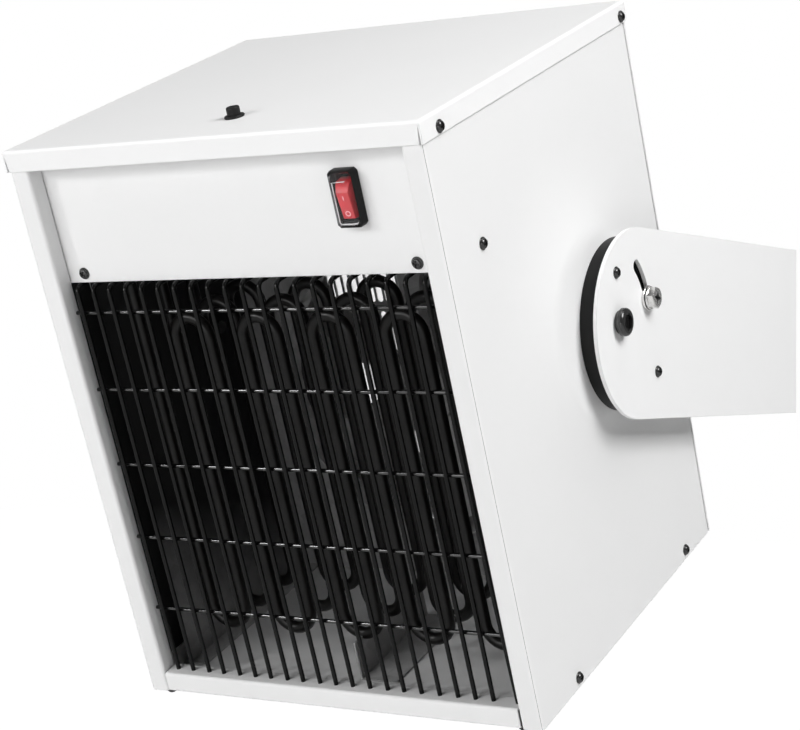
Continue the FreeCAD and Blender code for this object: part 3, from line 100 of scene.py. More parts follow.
def painted_shade_part(tree, place, ramp, shader, color, depth, half, at_foot=1.0):
    """Painted shade: a dark colour on faces that look sideways, at a depth from the middle, fainter at the
    lit foot.
    """
    masks = []
    spot = tree.nodes.new("ShaderNodeSeparateXYZ")
    wire(tree, place, "Object", spot, "Vector")
    look = tree.nodes.new("ShaderNodeSeparateXYZ")
    wire(tree, place, "Normal", look, "Vector")
    rise = tree.nodes.new("ShaderNodeMapRange")
    rise_values = (("From Min", SHADE_FOOT), ("From Max", SHADE_TOP), ("To Min", at_foot), ("To Max", 1.0))
    for socket, value in rise_values:
        rise.inputs[socket].default_value = value
    wire(tree, spot, "Z", rise, "Value")
    for source, middle, band in ((look, 1.0, SIDEWAYS_BAND), (spot, depth, half)):
        size = tree.nodes.new("ShaderNodeMath")
        size.operation = "ABSOLUTE"
        wire(tree, source, "X", size, 0)
        inside = tree.nodes.new("ShaderNodeMath")
        inside.operation = "COMPARE"
        inside.inputs[1].default_value = middle
        inside.inputs[2].default_value = band
        wire(tree, size, 0, inside, 0)
        masks.append(inside)
    both = tree.nodes.new("ShaderNodeMath")
    both.operation = "MULTIPLY"
    wire(tree, masks[0], 0, both, 0)
    wire(tree, masks[1], 0, both, 1)
    strength = tree.nodes.new("ShaderNodeMath")
    strength.operation = "MULTIPLY"
    wire(tree, both, 0, strength, 0)
    wire(tree, rise, "Result", strength, 1)
    mixed = tree.nodes.new("ShaderNodeMixRGB")
    mixed.inputs["Color2"].default_value = (*color, 1)
    wire(tree, strength, 0, mixed, "Fac")
    wire(tree, ramp, "Color", mixed, "Color1")
    wire(tree, mixed, "Color", shader, "Base Color")


def surface(
    name,
    dark,
    light,
    rough,
    metal=0.0,
    cloud=12.0,
    cells=0.0,
    grain=1200.0,
    bump=0.1,
    depth=0.0001,
    edge=0.0,
    painted_shade=None,
    extra=(),
):
    """A material whose colour, roughness and relief vary over the surface at the real scale."""
    material = bpy.data.materials.new(name)
    material.use_nodes = True
    tree = material.node_tree
    shader = tree.nodes["Principled BSDF"]
    shader.inputs["Metallic"].default_value = metal
    for socket, value in extra:
        shader.inputs[socket].default_value = value
    place = tree.nodes.new("ShaderNodeTexCoord")

    if cells:
        patches = tree.nodes.new("ShaderNodeTexVoronoi")
        patches.inputs["Scale"].default_value = cells
        patches.inputs["Randomness"].default_value = 1.0
        patch_value = "Color"
    else:
        patches = tree.nodes.new("ShaderNodeTexNoise")
        patches.inputs["Scale"].default_value = cloud
        patches.inputs["Detail"].default_value = 5.0
        patches.inputs["Roughness"].default_value = 0.6
        patch_value = "Fac"
    wire(tree, place, "Object", patches, "Vector")
    ramp = tree.nodes.new("ShaderNodeValToRGB")
    ramp.color_ramp.elements[0].position = 0.3
    ramp.color_ramp.elements[0].color = (*dark, 1)
    ramp.color_ramp.elements[1].position = 0.7
    ramp.color_ramp.elements[1].color = (*light, 1)
    wire(tree, patches, patch_value, ramp, "Fac")
    wire(tree, ramp, "Color", shader, "Base Color")
    # Optional painted shade on inner faces
    if painted_shade:
        painted_shade_part(tree, place, ramp, shader, *painted_shade)

    fine = tree.nodes.new("ShaderNodeTexNoise")
    fine.inputs["Scale"].default_value = grain
    fine.inputs["Detail"].default_value = 3.0
    wire(tree, place, "Object", fine, "Vector")
    spread = tree.nodes.new("ShaderNodeMapRange")
    spread.inputs["To Min"].default_value = rough[0]
    spread.inputs["To Max"].default_value = rough[1]
    wire(tree, fine, "Fac", spread, "Value")
    wire(tree, spread, "Result", shader, "Roughness")

    relief = tree.nodes.new("ShaderNodeBump")
    relief.inputs["Strength"].default_value = bump
    relief.inputs["Distance"].default_value = depth
    wire(tree, fine, "Fac", relief, "Height")
    wire(tree, relief, "Normal", shader, "Normal")
    if edge:
        soft = tree.nodes.new("ShaderNodeBevel")
        soft.samples = 4
        soft.inputs["Radius"].default_value = edge
        wire(tree, soft, "Normal", relief, "Normal")
    return material


def grey(value, warm=0.0):
    return (value * (1 + warm), value, value * (1 - warm))


def powder_coat(name, dark, light, cloud=5, painted_shade=None):
    """The satin white coat of the case; lighter whites stand in for light, and a painted shade may darken
    inner faces.
    """
    return surface(
        name, grey(dark), grey(light), (0.36, 0.5),
        cloud=cloud, grain=1500, bump=0.14, edge=0.0006, painted_shade=painted_shade,
    )


def shine(level):
    return (("Specular IOR Level", level),)


finishes = {
    "white_coat": powder_coat("white_powder_coat", 0.795, 0.81),
    # The bracket's lighter white is painted light, for the light its arms catch.
    "bracket_coat": powder_coat("bracket_powder_coat_painted_light", 0.85, 0.87, cloud=6),
    "black_plastic": surface(
        "black_moulded_plastic", grey(0.008), grey(0.014), (0.34, 0.5),
        cloud=40, grain=2600, bump=0.25, edge=0.0004, extra=shine(0.15),
    ),
    "black_coat": surface(
        "black_wire_coat", grey(0.002), grey(0.004), (0.08, 0.14),
        cloud=80, grain=1400, bump=0.08, extra=shine(0.18),
    ),
    "black_steel": surface(
        "blackened_steel", grey(0.006), grey(0.016), (0.16, 0.28),
        metal=0.2, cloud=300, grain=2400, bump=0.12, extra=shine(0.9),
    ),
    "zinc": surface(
        "zinc_plate", grey(0.62, 0.01), grey(0.78, 0.015), (0.2, 0.32),
        metal=1.0, cloud=350, grain=1800, bump=0.15,
    ),
    "galvanised": surface(
        "galvanised_sheet", grey(0.4), grey(0.46), (0.42, 0.56),
        metal=0.08, cells=130, grain=700, bump=0.12, edge=0.0004, extra=shine(0.15),
    ),
    "element_sheath": surface(
        "oxidised_sheath", grey(0.002, 0.05), grey(0.005, 0.1), (0.24, 0.36),
        cloud=70, grain=900, bump=0.12, extra=shine(0.3),
    ),
    "ceramic": surface(
        "glazed_ceramic", (0.72, 0.68, 0.6), (0.8, 0.77, 0.7), (0.12, 0.22), cloud=90, grain=800, bump=0.1
    ),
    "red_lens": surface(
        "red_lens", (0.42, 0.004, 0.01), (0.55, 0.012, 0.02), (0.26, 0.36),
        cloud=120, grain=1500, bump=0.05,
        extra=(
            ("Coat Weight", 0.25),
            ("Coat Roughness", 0.2),
            ("Subsurface Weight", 0.15),
            ("Subsurface Radius", (0.003, 0.0006, 0.0006)),
            ("Subsurface Scale", 1.0),
        ),
    ),
    "clear_cover": surface(
        "clear_cover", (0.92, 0.93, 0.95), (0.97, 0.97, 0.98), (0.08, 0.16),
        cloud=60, grain=500, bump=0.06,
        extra=(("Transmission Weight", 0.985), ("IOR", 1.14)),
    ),
    "fan_aluminium": surface(
        "rolled_aluminium", grey(0.5), grey(0.62), (0.28, 0.45),
        metal=0.9, cloud=25, grain=1100, bump=0.12, edge=0.0004,
    ),
    "motor_coat": surface(
        "stoved_black", grey(0.02), grey(0.035), (0.4, 0.55), cloud=40, grain=1600, bump=0.15, edge=0.0005
    ),
    "grey_plastic": surface(
        "grey_plastic", grey(0.28), grey(0.34), (0.42, 0.55), cloud=50, grain=2200, bump=0.2, edge=0.0004
    ),
}

# Distances from the middle, in metres, of the inner faces that get painted shade
SIDE_FACE, SIDE_BAND = 0.1475, 0.0006
SHIELD_FACE, SHIELD_BAND, SHIELD_FOOT_SHARE = 0.14, 0.01, 0.2
PAINTED_SHADE_COLOR = grey(0.03)
# The lid's lighter white is painted light, for the light its top and lips catch.
lid_coat_painted_light = powder_coat("lid_powder_coat_painted_light", 0.835, 0.85)
# The side panels' inner walls deep in the case get a near-black painted shade.
side_coat = powder_coat("side_powder_coat", 0.795, 0.81, painted_shade=(PAINTED_SHADE_COLOR, SIDE_FACE, SIDE_BAND))
switch_mark = surface(
    "switch_mark", (0.75, 0.4, 0.42), (0.82, 0.5, 0.52), (0.4, 0.5), cloud=200, grain=2000, bump=0.05
)
bright_wire = surface(
    "bright_wire_coat", grey(0.002), grey(0.004), (0.1, 0.17),
    cloud=80, grain=1400, bump=0.08, extra=shine(1.0),
)
# The heat shields' uprights get a near-black painted shade, fainter at their lit feet.
shield_sheet_painted_shade = surface(
    "sheet_with_painted_shade", grey(0.42), grey(0.48), (0.42, 0.56),
    cells=130, grain=700, bump=0.12, edge=0.0004,
    painted_shade=(PAINTED_SHADE_COLOR, SHIELD_FACE, SHIELD_BAND, SHIELD_FOOT_SHARE), extra=shine(0.1),
)
# A light grey for the clear cover's rim: painted highlight.
cover_rim_highlight = surface("cover_rim_highlight", grey(0.62), grey(0.7), (0.15, 0.25), cloud=150, grain=1500, bump=0.05)
# A dark grey lining for the lock bolts' recesses: painted shade.
recess_painted_shade = surface("recess_painted_shade", grey(0.03), grey(0.07), (0.4, 0.55), cloud=400, grain=1800, bump=0.2)

for part in frame["record"]["subparts"]:
    slots = nodes[part["node"]].material_slots
    for slot in slots:
        slot.material = finishes[part["material_slot"]]
for name, finish in (
    ("top_cover", lid_coat_painted_light),
    ("left_side_panel", side_coat),
    ("right_side_panel", side_coat),
    ("left_heat_shield", shield_sheet_painted_shade),
    ("right_heat_shield", shield_sheet_painted_shade),
):
    for slot in nodes[name].material_slots:
        slot.material = finish


# Mesh tools


def facing(axis, origin):
    """Places a shape that is drawn along its own z on a surface that looks along an axis."""
    turn = Vector(axis).to_track_quat("Z", "Y").to_matrix().to_4x4()
    return Matrix.Translation(origin) @ turn


def lathe(mesh, profile, place, sides=40, wave=None):
    """Turns a profile of (radius, height) points; a wave may vary the radius round the axis."""
    rings = []
    for radius, height in profile:
        if radius < 1e-6:
            rings.append([mesh.verts.new(place @ Vector((0, 0, height)))])
            continue
        ring = []
        for index in range(sides):
            angle = 2 * math.pi * index / sides
            reach = radius * (wave(index, height) if wave else 1)
            spot = Vector((reach * math.cos(angle), reach * math.sin(angle), height))
            ring.append(mesh.verts.new(place @ spot))
        rings.append(ring)
    for low, high in zip(rings, rings[1:]):
        for index in range(sides):
            after = (index + 1) % sides
            if len(low) == 1 and len(high) == 1:
                break
            if len(low) == 1:
                mesh.faces.new((low[0], high[after], high[index]))
            elif len(high) == 1:
                mesh.faces.new((low[index], low[after], high[0]))
            else:
                mesh.faces.new((low[index], low[after], high[after], high[index]))
    return mesh


def sweep(mesh, path, radius, sides=14):
    """A round wire along a path, with flat ends."""
    count = len(path)
    tangents = []
    for index in range(count):
        before, after = path[max(index - 1, 0)], path[min(index + 1, count - 1)]
        tangents.append((after - before).normalized())
    side = tangents[0].orthogonal().normalized()
    rings = []
    for spot, tangent in zip(path, tangents):
        side = (side - tangent * side.dot(tangent)).normalized()
        up = tangent.cross(side)
        ring = []
        for index in range(sides):
            angle = 2 * math.pi * index / sides
            ring.append(mesh.verts.new(spot + (side * math.cos(angle) + up * math.sin(angle)) * radius))
        rings.append(ring)
    for low, high in zip(rings, rings[1:]):
        for index in range(sides):
            after = (index + 1) % sides
            mesh.faces.new((low[index], low[after], high[after], high[index]))
    mesh.faces.new(list(reversed(rings[0])))
    mesh.faces.new(rings[-1])
    return mesh


def block(mesh, low, high, place=Matrix.Identity(4)):
    """A box between two corners."""
    spots = [
        Vector((x, y, z))
        for z in (low[2], high[2])
        for y in (low[1], high[1])
        for x in (low[0], high[0])
    ]
    verts = [mesh.verts.new(place @ spot) for spot in spots]
    for face in ((0, 2, 3, 1), (4, 5, 7, 6), (0, 1, 5, 4), (2, 6, 7, 3), (0, 4, 6, 2), (1, 3, 7, 5)):
        mesh.faces.new([verts[index] for index in face])
    return mesh


def loft(mesh, rings, close=True):
    """Skins rings of equally many points, and closes both ends."""
    made = [[mesh.verts.new(spot) for spot in ring] for ring in rings]
    for low, high in zip(made, made[1:]):
        count = len(low)
        for index in range(count):
            after = (index + 1) % count
            mesh.faces.new((low[index], low[after], high[after], high[index]))
    if close:
        mesh.faces.new(list(reversed(made[0])))
        mesh.faces.new(made[-1])
    return mesh


def to_mesh(name, shape):
    bmesh.ops.recalc_face_normals(shape, faces=shape.faces)
    mesh = bpy.data.meshes.new(name)
    shape.to_mesh(mesh)
    shape.free()
    return mesh


def turned(name, profile, sides, wave=None, place=Matrix.Identity(4)):
    """The finished mesh of one turned profile."""
    return to_mesh(name, lathe(bmesh.new(), profile, place, sides, wave))


def modified(mesh, kind, **settings):
    """The mesh after one modifier."""
    holder = bpy.data.objects.new("holder", mesh)
    bpy.context.scene.collection.objects.link(holder)
    step = holder.modifiers.new("step", kind)
    for key, value in settings.items():
        setattr(step, key, value)
    bpy.context.view_layer.update()
    result = bpy.data.meshes.new_from_object(holder.evaluated_get(bpy.context.evaluated_depsgraph_get()))
    bpy.data.objects.remove(holder)
    return result


def carved(mesh, cutter, operation="DIFFERENCE"):
    """The mesh with another one cut out of it, or only what lies in both."""
    tool = bpy.data.objects.new("tool", cutter)
    bpy.context.scene.collection.objects.link(tool)
    result = modified(mesh, "BOOLEAN", operation=operation, solver="EXACT", object=tool)
    bpy.data.objects.remove(tool)
    return result


def show(name, mesh, place, body, slot, replaced=(), material=None, sharp=35):
    """Puts a finished mesh in the scene, on the body that carries it."""
    mesh.transform(place)
    mesh.materials.clear()
    mesh.materials.append(material or finishes[slot])
    mesh.polygons.foreach_set("use_smooth", [True] * len(mesh.polygons))
    mesh.set_sharp_from_angle(angle=math.radians(sharp))
    piece = bpy.data.objects.new(name, mesh)
    bpy.context.scene.collection.objects.link(piece)
    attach(piece, body)
    if replaced:
        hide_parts(*replaced)
    return piece


def copies(prototype, places):
    """One mesh with a copy of a prototype at each place."""
    shape = bmesh.new()
    for place in places:
        before = len(shape.verts)
        shape.from_mesh(prototype)
        shape.verts.ensure_lookup_table()
        bmesh.ops.transform(shape, matrix=place, verts=shape.verts[before:])
    return to_mesh("copies", shape)


def both_sides(spots, out):
    """Places on the right and left of the case for shapes that stand on its sides."""
    places = [facing(RIGHT, (out, along, up)) for along, up in spots]
    return places + [facing(LEFT, (-out, along, up)) for along, up in spots]


# Wire grille

shake = random.Random(7)
BAR_COUNT, BAR_PITCH, BAR_RADIUS = 21, 12.7, 1.5
BAR_LINE = CASE_FRONT + 7.4
BAR_FOOT = CASE_BOTTOM + 13.7
BAR_TAIL = FRONT_BOTTOM - BAR_RADIUS
BAR_BEND, BAR_END = 4.5, 16.0
BAR_STEPS, BEND_STEPS = 12, 6
BAR_SPLAY, LAST_SPLAY = 0.5, 4.0
bars = bmesh.new()
for index in range(BAR_COUNT):
    middle = (index - (BAR_COUNT - 1) / 2) * BAR_PITCH
    splay = LAST_SPLAY if index == BAR_COUNT - 1 else shake.uniform(-BAR_SPLAY, BAR_SPLAY)
    path = []
    for step in range(BAR_STEPS + 1):
        share = step / BAR_STEPS
        up = BAR_FOOT + (BAR_TAIL - BAR_BEND - BAR_FOOT) * share
        path.append(Vector((middle + splay * (1 - share) ** 2, BAR_LINE, up)))
    for step in range(1, BEND_STEPS + 1):
        turn = math.pi / 2 * step / BEND_STEPS
        along = BAR_LINE + BAR_BEND * (1 - math.cos(turn))
        path.append(Vector((middle, along, BAR_TAIL - BAR_BEND * (1 - math.sin(turn)))))
    path.append(Vector((middle, BAR_LINE + BAR_END, BAR_TAIL)))
    sweep(bars, path, BAR_RADIUS)
bar_mesh = to_mesh("grille_bars_round", bars)
show("grille_bars_round", bar_mesh, CASE, "head", "black_coat", ["grille_bars"], sharp=50)

CROSS_COUNT, CROSS_PITCH, CROSS_RADIUS = 5, 52.4, 1.3
CROSS_DROP, CROSS_WAVE = 110.5, 0.12
CROSS_STEPS = 20
CROSS_HALF = FLANGE_IN - 0.1
CROSS_LINE = BAR_LINE + BAR_RADIUS + CROSS_RADIUS
cross = bmesh.new()
for index in range(CROSS_COUNT):
    up = LID_TOP - CROSS_DROP - CROSS_PITCH * index
    path = []
    for step in range(CROSS_STEPS + 1):
        across = -CROSS_HALF + 2 * CROSS_HALF * step / CROSS_STEPS
        path.append(Vector((across, CROSS_LINE, up + shake.uniform(-CROSS_WAVE, CROSS_WAVE))))
    sweep(cross, path, CROSS_RADIUS)
cross_mesh = to_mesh("grille_cross_wires_round", cross)
show(
    "grille_cross_wires_round", cross_mesh, CASE, "head", "black_coat",
    ["grille_cross_wires"], bright_wire, sharp=50,
)

# Heating elements

LEG_COUNT, LEG_PITCH, TUBE_RADIUS = 10, 26.5, 4.0
BEND = LEG_PITCH / 2
ARC_STEPS = 12
ROW_SETBACK, ROW_PITCH = 50, 30
TUBE_END = DECK_TOP + 8
LOOP_DROP, LOOP_LIFT = 129, 28.2
LOOP_HIGH = LID_TOP - LOOP_DROP - BEND
LOOP_LOW = CASE_BOTTOM + LOOP_LIFT + BEND
for row, name in enumerate(("front", "middle", "rear")):
    along = LID_FRONT + ROW_SETBACK + ROW_PITCH * row
    start = -BEND * (LEG_COUNT - 1)
    path = [Vector((start, along, TUBE_END))]
    for leg in range(LEG_COUNT - 1):
        centre = start + leg * LEG_PITCH + BEND
        down = leg % 2 == 0
        level = LOOP_LOW if down else LOOP_HIGH
        sign = -1 if down else 1
        for step in range(ARC_STEPS + 1):
            angle = math.pi * (1 - step / ARC_STEPS)
            across = centre + BEND * math.cos(angle)
            path.append(Vector((across, along, level + sign * BEND * math.sin(angle))))
    path.append(Vector((-start, along, TUBE_END)))
    node = f"{name}_heating_element"
    tube = to_mesh(node, sweep(bmesh.new(), path, TUBE_RADIUS, 16))
    show(f"{node}_round", tube, CASE, "head", "element_sheath", [node], sharp=60)

# Pan-head screws

RECESS_LONG, RECESS_WIDE, RECESS_FLOOR, RECESS_TOP = 2.2, 0.5, 1.15, 3.2
profile = [
    (0, 0), (3.8, 0), (3.8, 0.55), (3.65, 0.7), (3.3, 0.78),
    (3.2, 1.2), (2.9, 1.75), (2.3, 2.2), (1.4, 2.4), (0, 2.45),
]
screw = turned("pan_screw", profile, 36)
for wide, tall in ((RECESS_LONG, RECESS_WIDE), (RECESS_WIDE, RECESS_LONG)):
    cut = block(bmesh.new(), (-wide, -tall, RECESS_FLOOR), (wide, tall, RECESS_TOP))
    screw = carved(screw, to_mesh("cut", cut))

lid_spots = [(LID_FRONT + 20, LID_TOP - 9), (LID_BACK - 8.5, LID_TOP - 9)]
side_spots = [
    (LID_FRONT + 43, DECK_TOP + 4),
    (LID_FRONT + 55, CASE_BOTTOM + 6.2),
    (LID_FRONT + 229, CASE_BOTTOM + 6.2),
]
DISC_SCREW_MIDDLE, DISC_SCREW_BACK, DISC_SCREW_UP = 26.3, 30.7, 30.3
disc_spots = [
    (DISC_SCREW_MIDDLE - DISC_SCREW_BACK, DISC_SCREW_UP),
    (DISC_SCREW_MIDDLE + DISC_SCREW_BACK, -DISC_SCREW_UP),
]
FRONT_SCREW_ACROSS, FOOT_SCREW_ACROSS, REAR_SCREW_ACROSS = 122, 134.4, SIDE_OUT - 8
rear_heights = (LID_TOP - 13.5 - 8, (LID_TOP + CASE_BOTTOM) / 2, CASE_BOTTOM + 8)
screw_sets = {
    "lid_screws": both_sides(lid_spots, LID_HALF),
    "side_screws": both_sides(side_spots, SIDE_OUT),
    "front_screws": [
        facing(FRONT, (side * FRONT_SCREW_ACROSS, FRONT_FACE, FRONT_BOTTOM + 6)) for side in (1, -1)
    ],
    "rear_screws": [
        facing(REAR, (side * REAR_SCREW_ACROSS, CASE_BACK, up)) for side in (1, -1) for up in rear_heights
    ],
    "foot_screws": [
        facing(UNDER, (side * FOOT_SCREW_ACROSS, CASE_FRONT + 4.2, CASE_BOTTOM)) for side in (1, -1)
    ],
    "spacer_screws": both_sides(disc_spots, ARM_OUT),
}
for name, places in screw_sets.items():
    driven = [place @ Matrix.Rotation(shake.uniform(0, math.pi / 2), 4, "Z") for place in places]
    if name == "spacer_screws":
        base_place, body = LEVEL, "bracket"
    else:
        base_place, body = CASE, "head"
    show(f"{name}_heads", copies(screw, driven), base_place, body, "black_steel", [name], sharp=28)

# Smooth run-out of the pressed boss on each side panel

BOSS_HEIGHT, BOSS_RADIUS, RUNOUT_RADIUS, RUNOUT_DIP = 7.0, 57.0, 119.0, 0.005
RUNOUT_HOLE, RUNOUT_FLAT, RUNOUT_FALL, RUNOUT_STEPS = 26, 50, 2.2, 20
skin_top, skin_under = BOSS_HEIGHT + 0.03, BOSS_HEIGHT - 0.4
profile = [(RUNOUT_HOLE, skin_under), (RUNOUT_HOLE, skin_top), (RUNOUT_FLAT, skin_top)]
for step in range(RUNOUT_STEPS + 1):
    share = step / RUNOUT_STEPS
    height = skin_top * (1 - share) ** RUNOUT_FALL - RUNOUT_DIP * share
    profile.append((BOSS_RADIUS + (RUNOUT_RADIUS - BOSS_RADIUS) * share, height))
profile += [
    (RUNOUT_RADIUS, -0.5), (BOSS_RADIUS, -0.5), (BOSS_RADIUS, skin_under), (RUNOUT_HOLE, skin_under),
]
runout_mesh = copies(turned("boss_runout", profile, 120), both_sides([(0, 0)], SIDE_OUT))
show("side_boss_runouts", runout_mesh, CASE, "head", "white_coat", sharp=40)

# Pivot bolts with knurled socket heads, and their spring washers

WASHER_SEAT = ARM_OUT + 0.1


def knurl(index, height):
    return 0.985 if index % 2 and 0.6 < height < 2.3 else 1.0


profile = [
    (0, 0), (8.5, 0), (8.8, 0.3), (8.8, 0.5), (8.8, 0.7), (8.8, 2.2), (8.8, 2.4),
    (8.62, 3.1), (8.15, 3.7), (7.5, 4.05), (6.9, 4.2), (0, 4.2),
]
bolt = turned("pivot_bolt", profile, 96, knurl)
socket = turned("socket", [(0, 1.6), (5.77, 1.9), (5.77, 5), (0, 5)], 6)
bolt = carved(bolt, socket)
shank = turned("shank", [(0, -36.4), (4.6, -36.4), (5, -35.9), (5, 0.2), (0, 0.2)], 24)
pivot_seat = WASHER_SEAT + 2.3
pivot_places = both_sides([(0, 0)], pivot_seat)
bolt_mesh = copies(bolt, pivot_places)
show("pivot_bolt_heads", bolt_mesh, CASE, "head", "black_steel", ["pivot_bolts"], sharp=25)
show("pivot_bolt_shanks", copies(shank, pivot_places), CASE, "head", "black_steel")

SPRING_STEPS, SPRING_GAP, SPRING_LIFT = 40, 4, 0.5
rings = []
for step in range(SPRING_STEPS + 1):
    share = step / SPRING_STEPS
    angle = math.radians(SPRING_GAP + (360 - 2 * SPRING_GAP) * share)
    lift = SPRING_LIFT * (share - 0.5)
    ring = []
    for radius, height in ((5.1, 0.3), (7.3, 0.3), (7.3, 2.0), (5.1, 2.0)):
        ring.append(Vector((radius * math.cos(angle), radius * math.sin(angle), height + lift)))
    rings.append(ring)
spring = to_mesh("spring_washer", loft(bmesh.new(), rings))
spring = modified(spring, "BEVEL", width=0.2, segments=2, limit_method="ANGLE")
washer_places = both_sides([(0, 0)], WASHER_SEAT)
show("pivot_spring_washers", copies(spring, washer_places), CASE, "head", "black_steel", ["pivot_washers"])

# Tilt lock bolts: zinc hexagon heads with a cross recess lined with painted shade, on plain washers

LOCK_REACH, LOCK_ANGLE = 43.5, math.radians(22) - REST_TILT
lock_spots = [(LOCK_REACH * math.cos(LOCK_ANGLE), LOCK_REACH * math.sin(LOCK_ANGLE))]
profile = [(4.1, 0), (7.8, 0), (8, 0.2), (8, 1.35), (7.75, 1.6), (4.1, 1.6), (4.1, 0)]
washer_mesh = copies(turned("washer", profile, 48), both_sides(lock_spots, WASHER_SEAT))
show("tilt_lock_washers_round", washer_mesh, CASE, "head", "zinc", ["tilt_lock_washers"])
lock_seat = WASHER_SEAT + 1.6
corner = 6.3 / math.cos(math.pi / 6)
hexagon = [(0, 1.7), (corner, 1.7), (corner, 7), (0, 7)]
lock = turned("hexagon", hexagon, 6, place=Matrix.Rotation(math.pi / 6, 4, "Z"))
profile = [(0, 1.6), (9, 1.6), (9, 4.4), (6.3, 5.75), (5.9, 6.0), (5.5, 6.1), (0, 6.0)]
lock = carved(lock, turned("cone", profile, 48), "INTERSECT")
RECESS_TURN = math.radians(28)


def star(tip, valley, height):
    """The eight corners of a four-pointed star, turned off the upright."""
    spots = []
    for index in range(8):
        angle = math.pi / 4 * index - RECESS_TURN
        radius = valley if index % 2 else tip
        spots.append(Vector((radius * math.cos(angle), radius * math.sin(angle), height)))
    return spots


recess = loft(bmesh.new(), [star(2.6, 1.2, 2.6), star(5.7, 2.5, 7)])
lock = carved(lock, to_mesh("recess", recess))
# A dark lining inside each cross recess is painted shade.
shade_lining = bmesh.new()
loft(shade_lining, [star(2.5, 1.1, 2.75), star(4.75, 2.0, 6.0)], close=False)
shade_lining.faces.new(shade_lining.verts[:8])
shade_lining = to_mesh("recess_shade_lining", shade_lining)
profile = [
    (0, -27), (3.7, -27), (4, -26.6), (4, 0), (4.4, 0), (4.4, 0.5),
    (7.1, 0.5), (7.3, 0.7), (7.3, 1.5), (7.1, 1.7), (0, 1.7),
]
base = turned("lock_base", profile, 40)
lock_places = both_sides(lock_spots, lock_seat)
show("tilt_lock_bolt_heads", copies(lock, lock_places), CASE, "head", "zinc", ["tilt_lock_bolts"], sharp=22)
show("tilt_lock_bolt_shanks", copies(base, lock_places), CASE, "head", "zinc")
show("tilt_lock_recess_shade", copies(shade_lining, lock_places), CASE, "head", "zinc", material=recess_painted_shade)

# Reset button in its bush on the lid

RESET_SPOT = (0, LID_FRONT + 41, LID_TOP)
profile = [
    (4.25, -8.2), (5.2, -8.2), (5.2, 0), (6.0, 0), (6.2, 0.3),
    (6.2, 0.9), (5.9, 1.4), (5.2, 1.6), (4.25, 1.6), (4.25, -8.2),
]
bush = turned("reset_bush_round", profile, 40, place=facing(OVER, RESET_SPOT))
show("reset_bush_round", bush, CASE, "head", "black_plastic", ["reset_bush"], sharp=30)


def ribs(index, height):
    return 0.975 if index % 4 == 0 and 1.9 < height < 5.6 else 1.0


profile = [
    (0, -6), (4.1, -6), (4.1, 1.8), (4.1, 2), (4.1, 5.4), (4.08, 5.7),
    (3.8, 6.3), (3.2, 6.58), (1.6, 6.6), (1.4, 6.35), (0, 6.3),
]
button = turned("reset_button_cap", profile, 48, ribs, facing(OVER, RESET_SPOT))
show("reset_button_cap", button, CASE, "reset_button", "black_plastic", ["reset_button"], sharp=30)

# Rocker switch: bezel with cut corners, clear cover with a painted highlight on its rim, red rocker and its
# marks

SWITCH = Vector((87, FRONT_FACE, LID_TOP - 44))


def cut_rectangle(half_wide, half_tall, cut, depth):
    """The eight corners of an upright rectangle with cut corners, in front of the panel."""
    spots = [
        (half_wide - cut, -half_tall), (half_wide, cut - half_tall), (half_wide, half_tall - cut),
        (half_wide - cut, half_tall), (cut - half_wide, half_tall), (-half_wide, half_tall - cut),
        (-half_wide, cut - half_tall), (cut - half_wide, -half_tall),
    ]
    return [SWITCH + Vector((across, -depth, up)) for across, up in spots]


bezel = bmesh.new()
bezel_rings = (
    (8.5, 17, 1.8, 0), (8.45, 16.95, 1.8, 5.7), (8.15, 16.65, 1.7, 6.35), (7.75, 16.25, 1.6, 6.5),
    (7.35, 15.85, 1.5, 6.4), (6.6, 15.1, 1.0, 5.2), (6.5, 15, 0.8, 2), (5.5, 14, 0.6, 2), (5.5, 14, 0.6, -13),
    (6.95, 15.7, 0.4, -25), (6.95, 15.7, 0.4, -0.1),
)
loft(bezel, [cut_rectangle(*ring) for ring in bezel_rings], close=False)
bezel_mesh = modified(to_mesh("switch_bezel", bezel), "BEVEL", width=0.2, segments=2, limit_method="ANGLE")
show("switch_bezel", bezel_mesh, CASE, "head", "black_plastic", ["switch_housing"], sharp=40)

cover = bmesh.new()
cover_rings = (
    (6.9, 15.4, 1.4, 6.2), (6.75, 15.2, 1.4, 7.4), (6.5, 14.9, 1.3, 8.4),
    (6.1, 14.5, 1.2, 8.95), (5.3, 13.7, 1.0, 9.2),
)
loft(cover, [cut_rectangle(*ring) for ring in cover_rings], close=False)
cover.faces.new(list(cover.verts)[-8:])
cover_mesh = modified(to_mesh("clear_cover", cover), "BEVEL", width=0.12, segments=2, limit_method="ANGLE")
cover_mesh = modified(cover_mesh, "SOLIDIFY", thickness=0.3, offset=-1.0)
show("clear_switch_cover", cover_mesh, CASE, "head", "clear_cover", ["splash_cover"], sharp=50)
# A light grey rod along the cover's left and lower rims is a painted highlight.
edge_corners = [(2.4, 10.4), (-6.2, 9.9), (-6.2, -13.6), (-5.2, -14.6), (5.2, -14.6), (6.2, -13.6)]
EDGE_PROUD, EDGE_RADIUS = 6.4, 0.33
edge_path = [SWITCH + Vector((across, -EDGE_PROUD, up)) for across, up in edge_corners]
edge_mesh = to_mesh("cover_rim_highlight", sweep(bmesh.new(), edge_path, EDGE_RADIUS, 10))
show("cover_rim_highlight", edge_mesh, CASE, "head", "clear_cover", material=cover_rim_highlight, sharp=50)

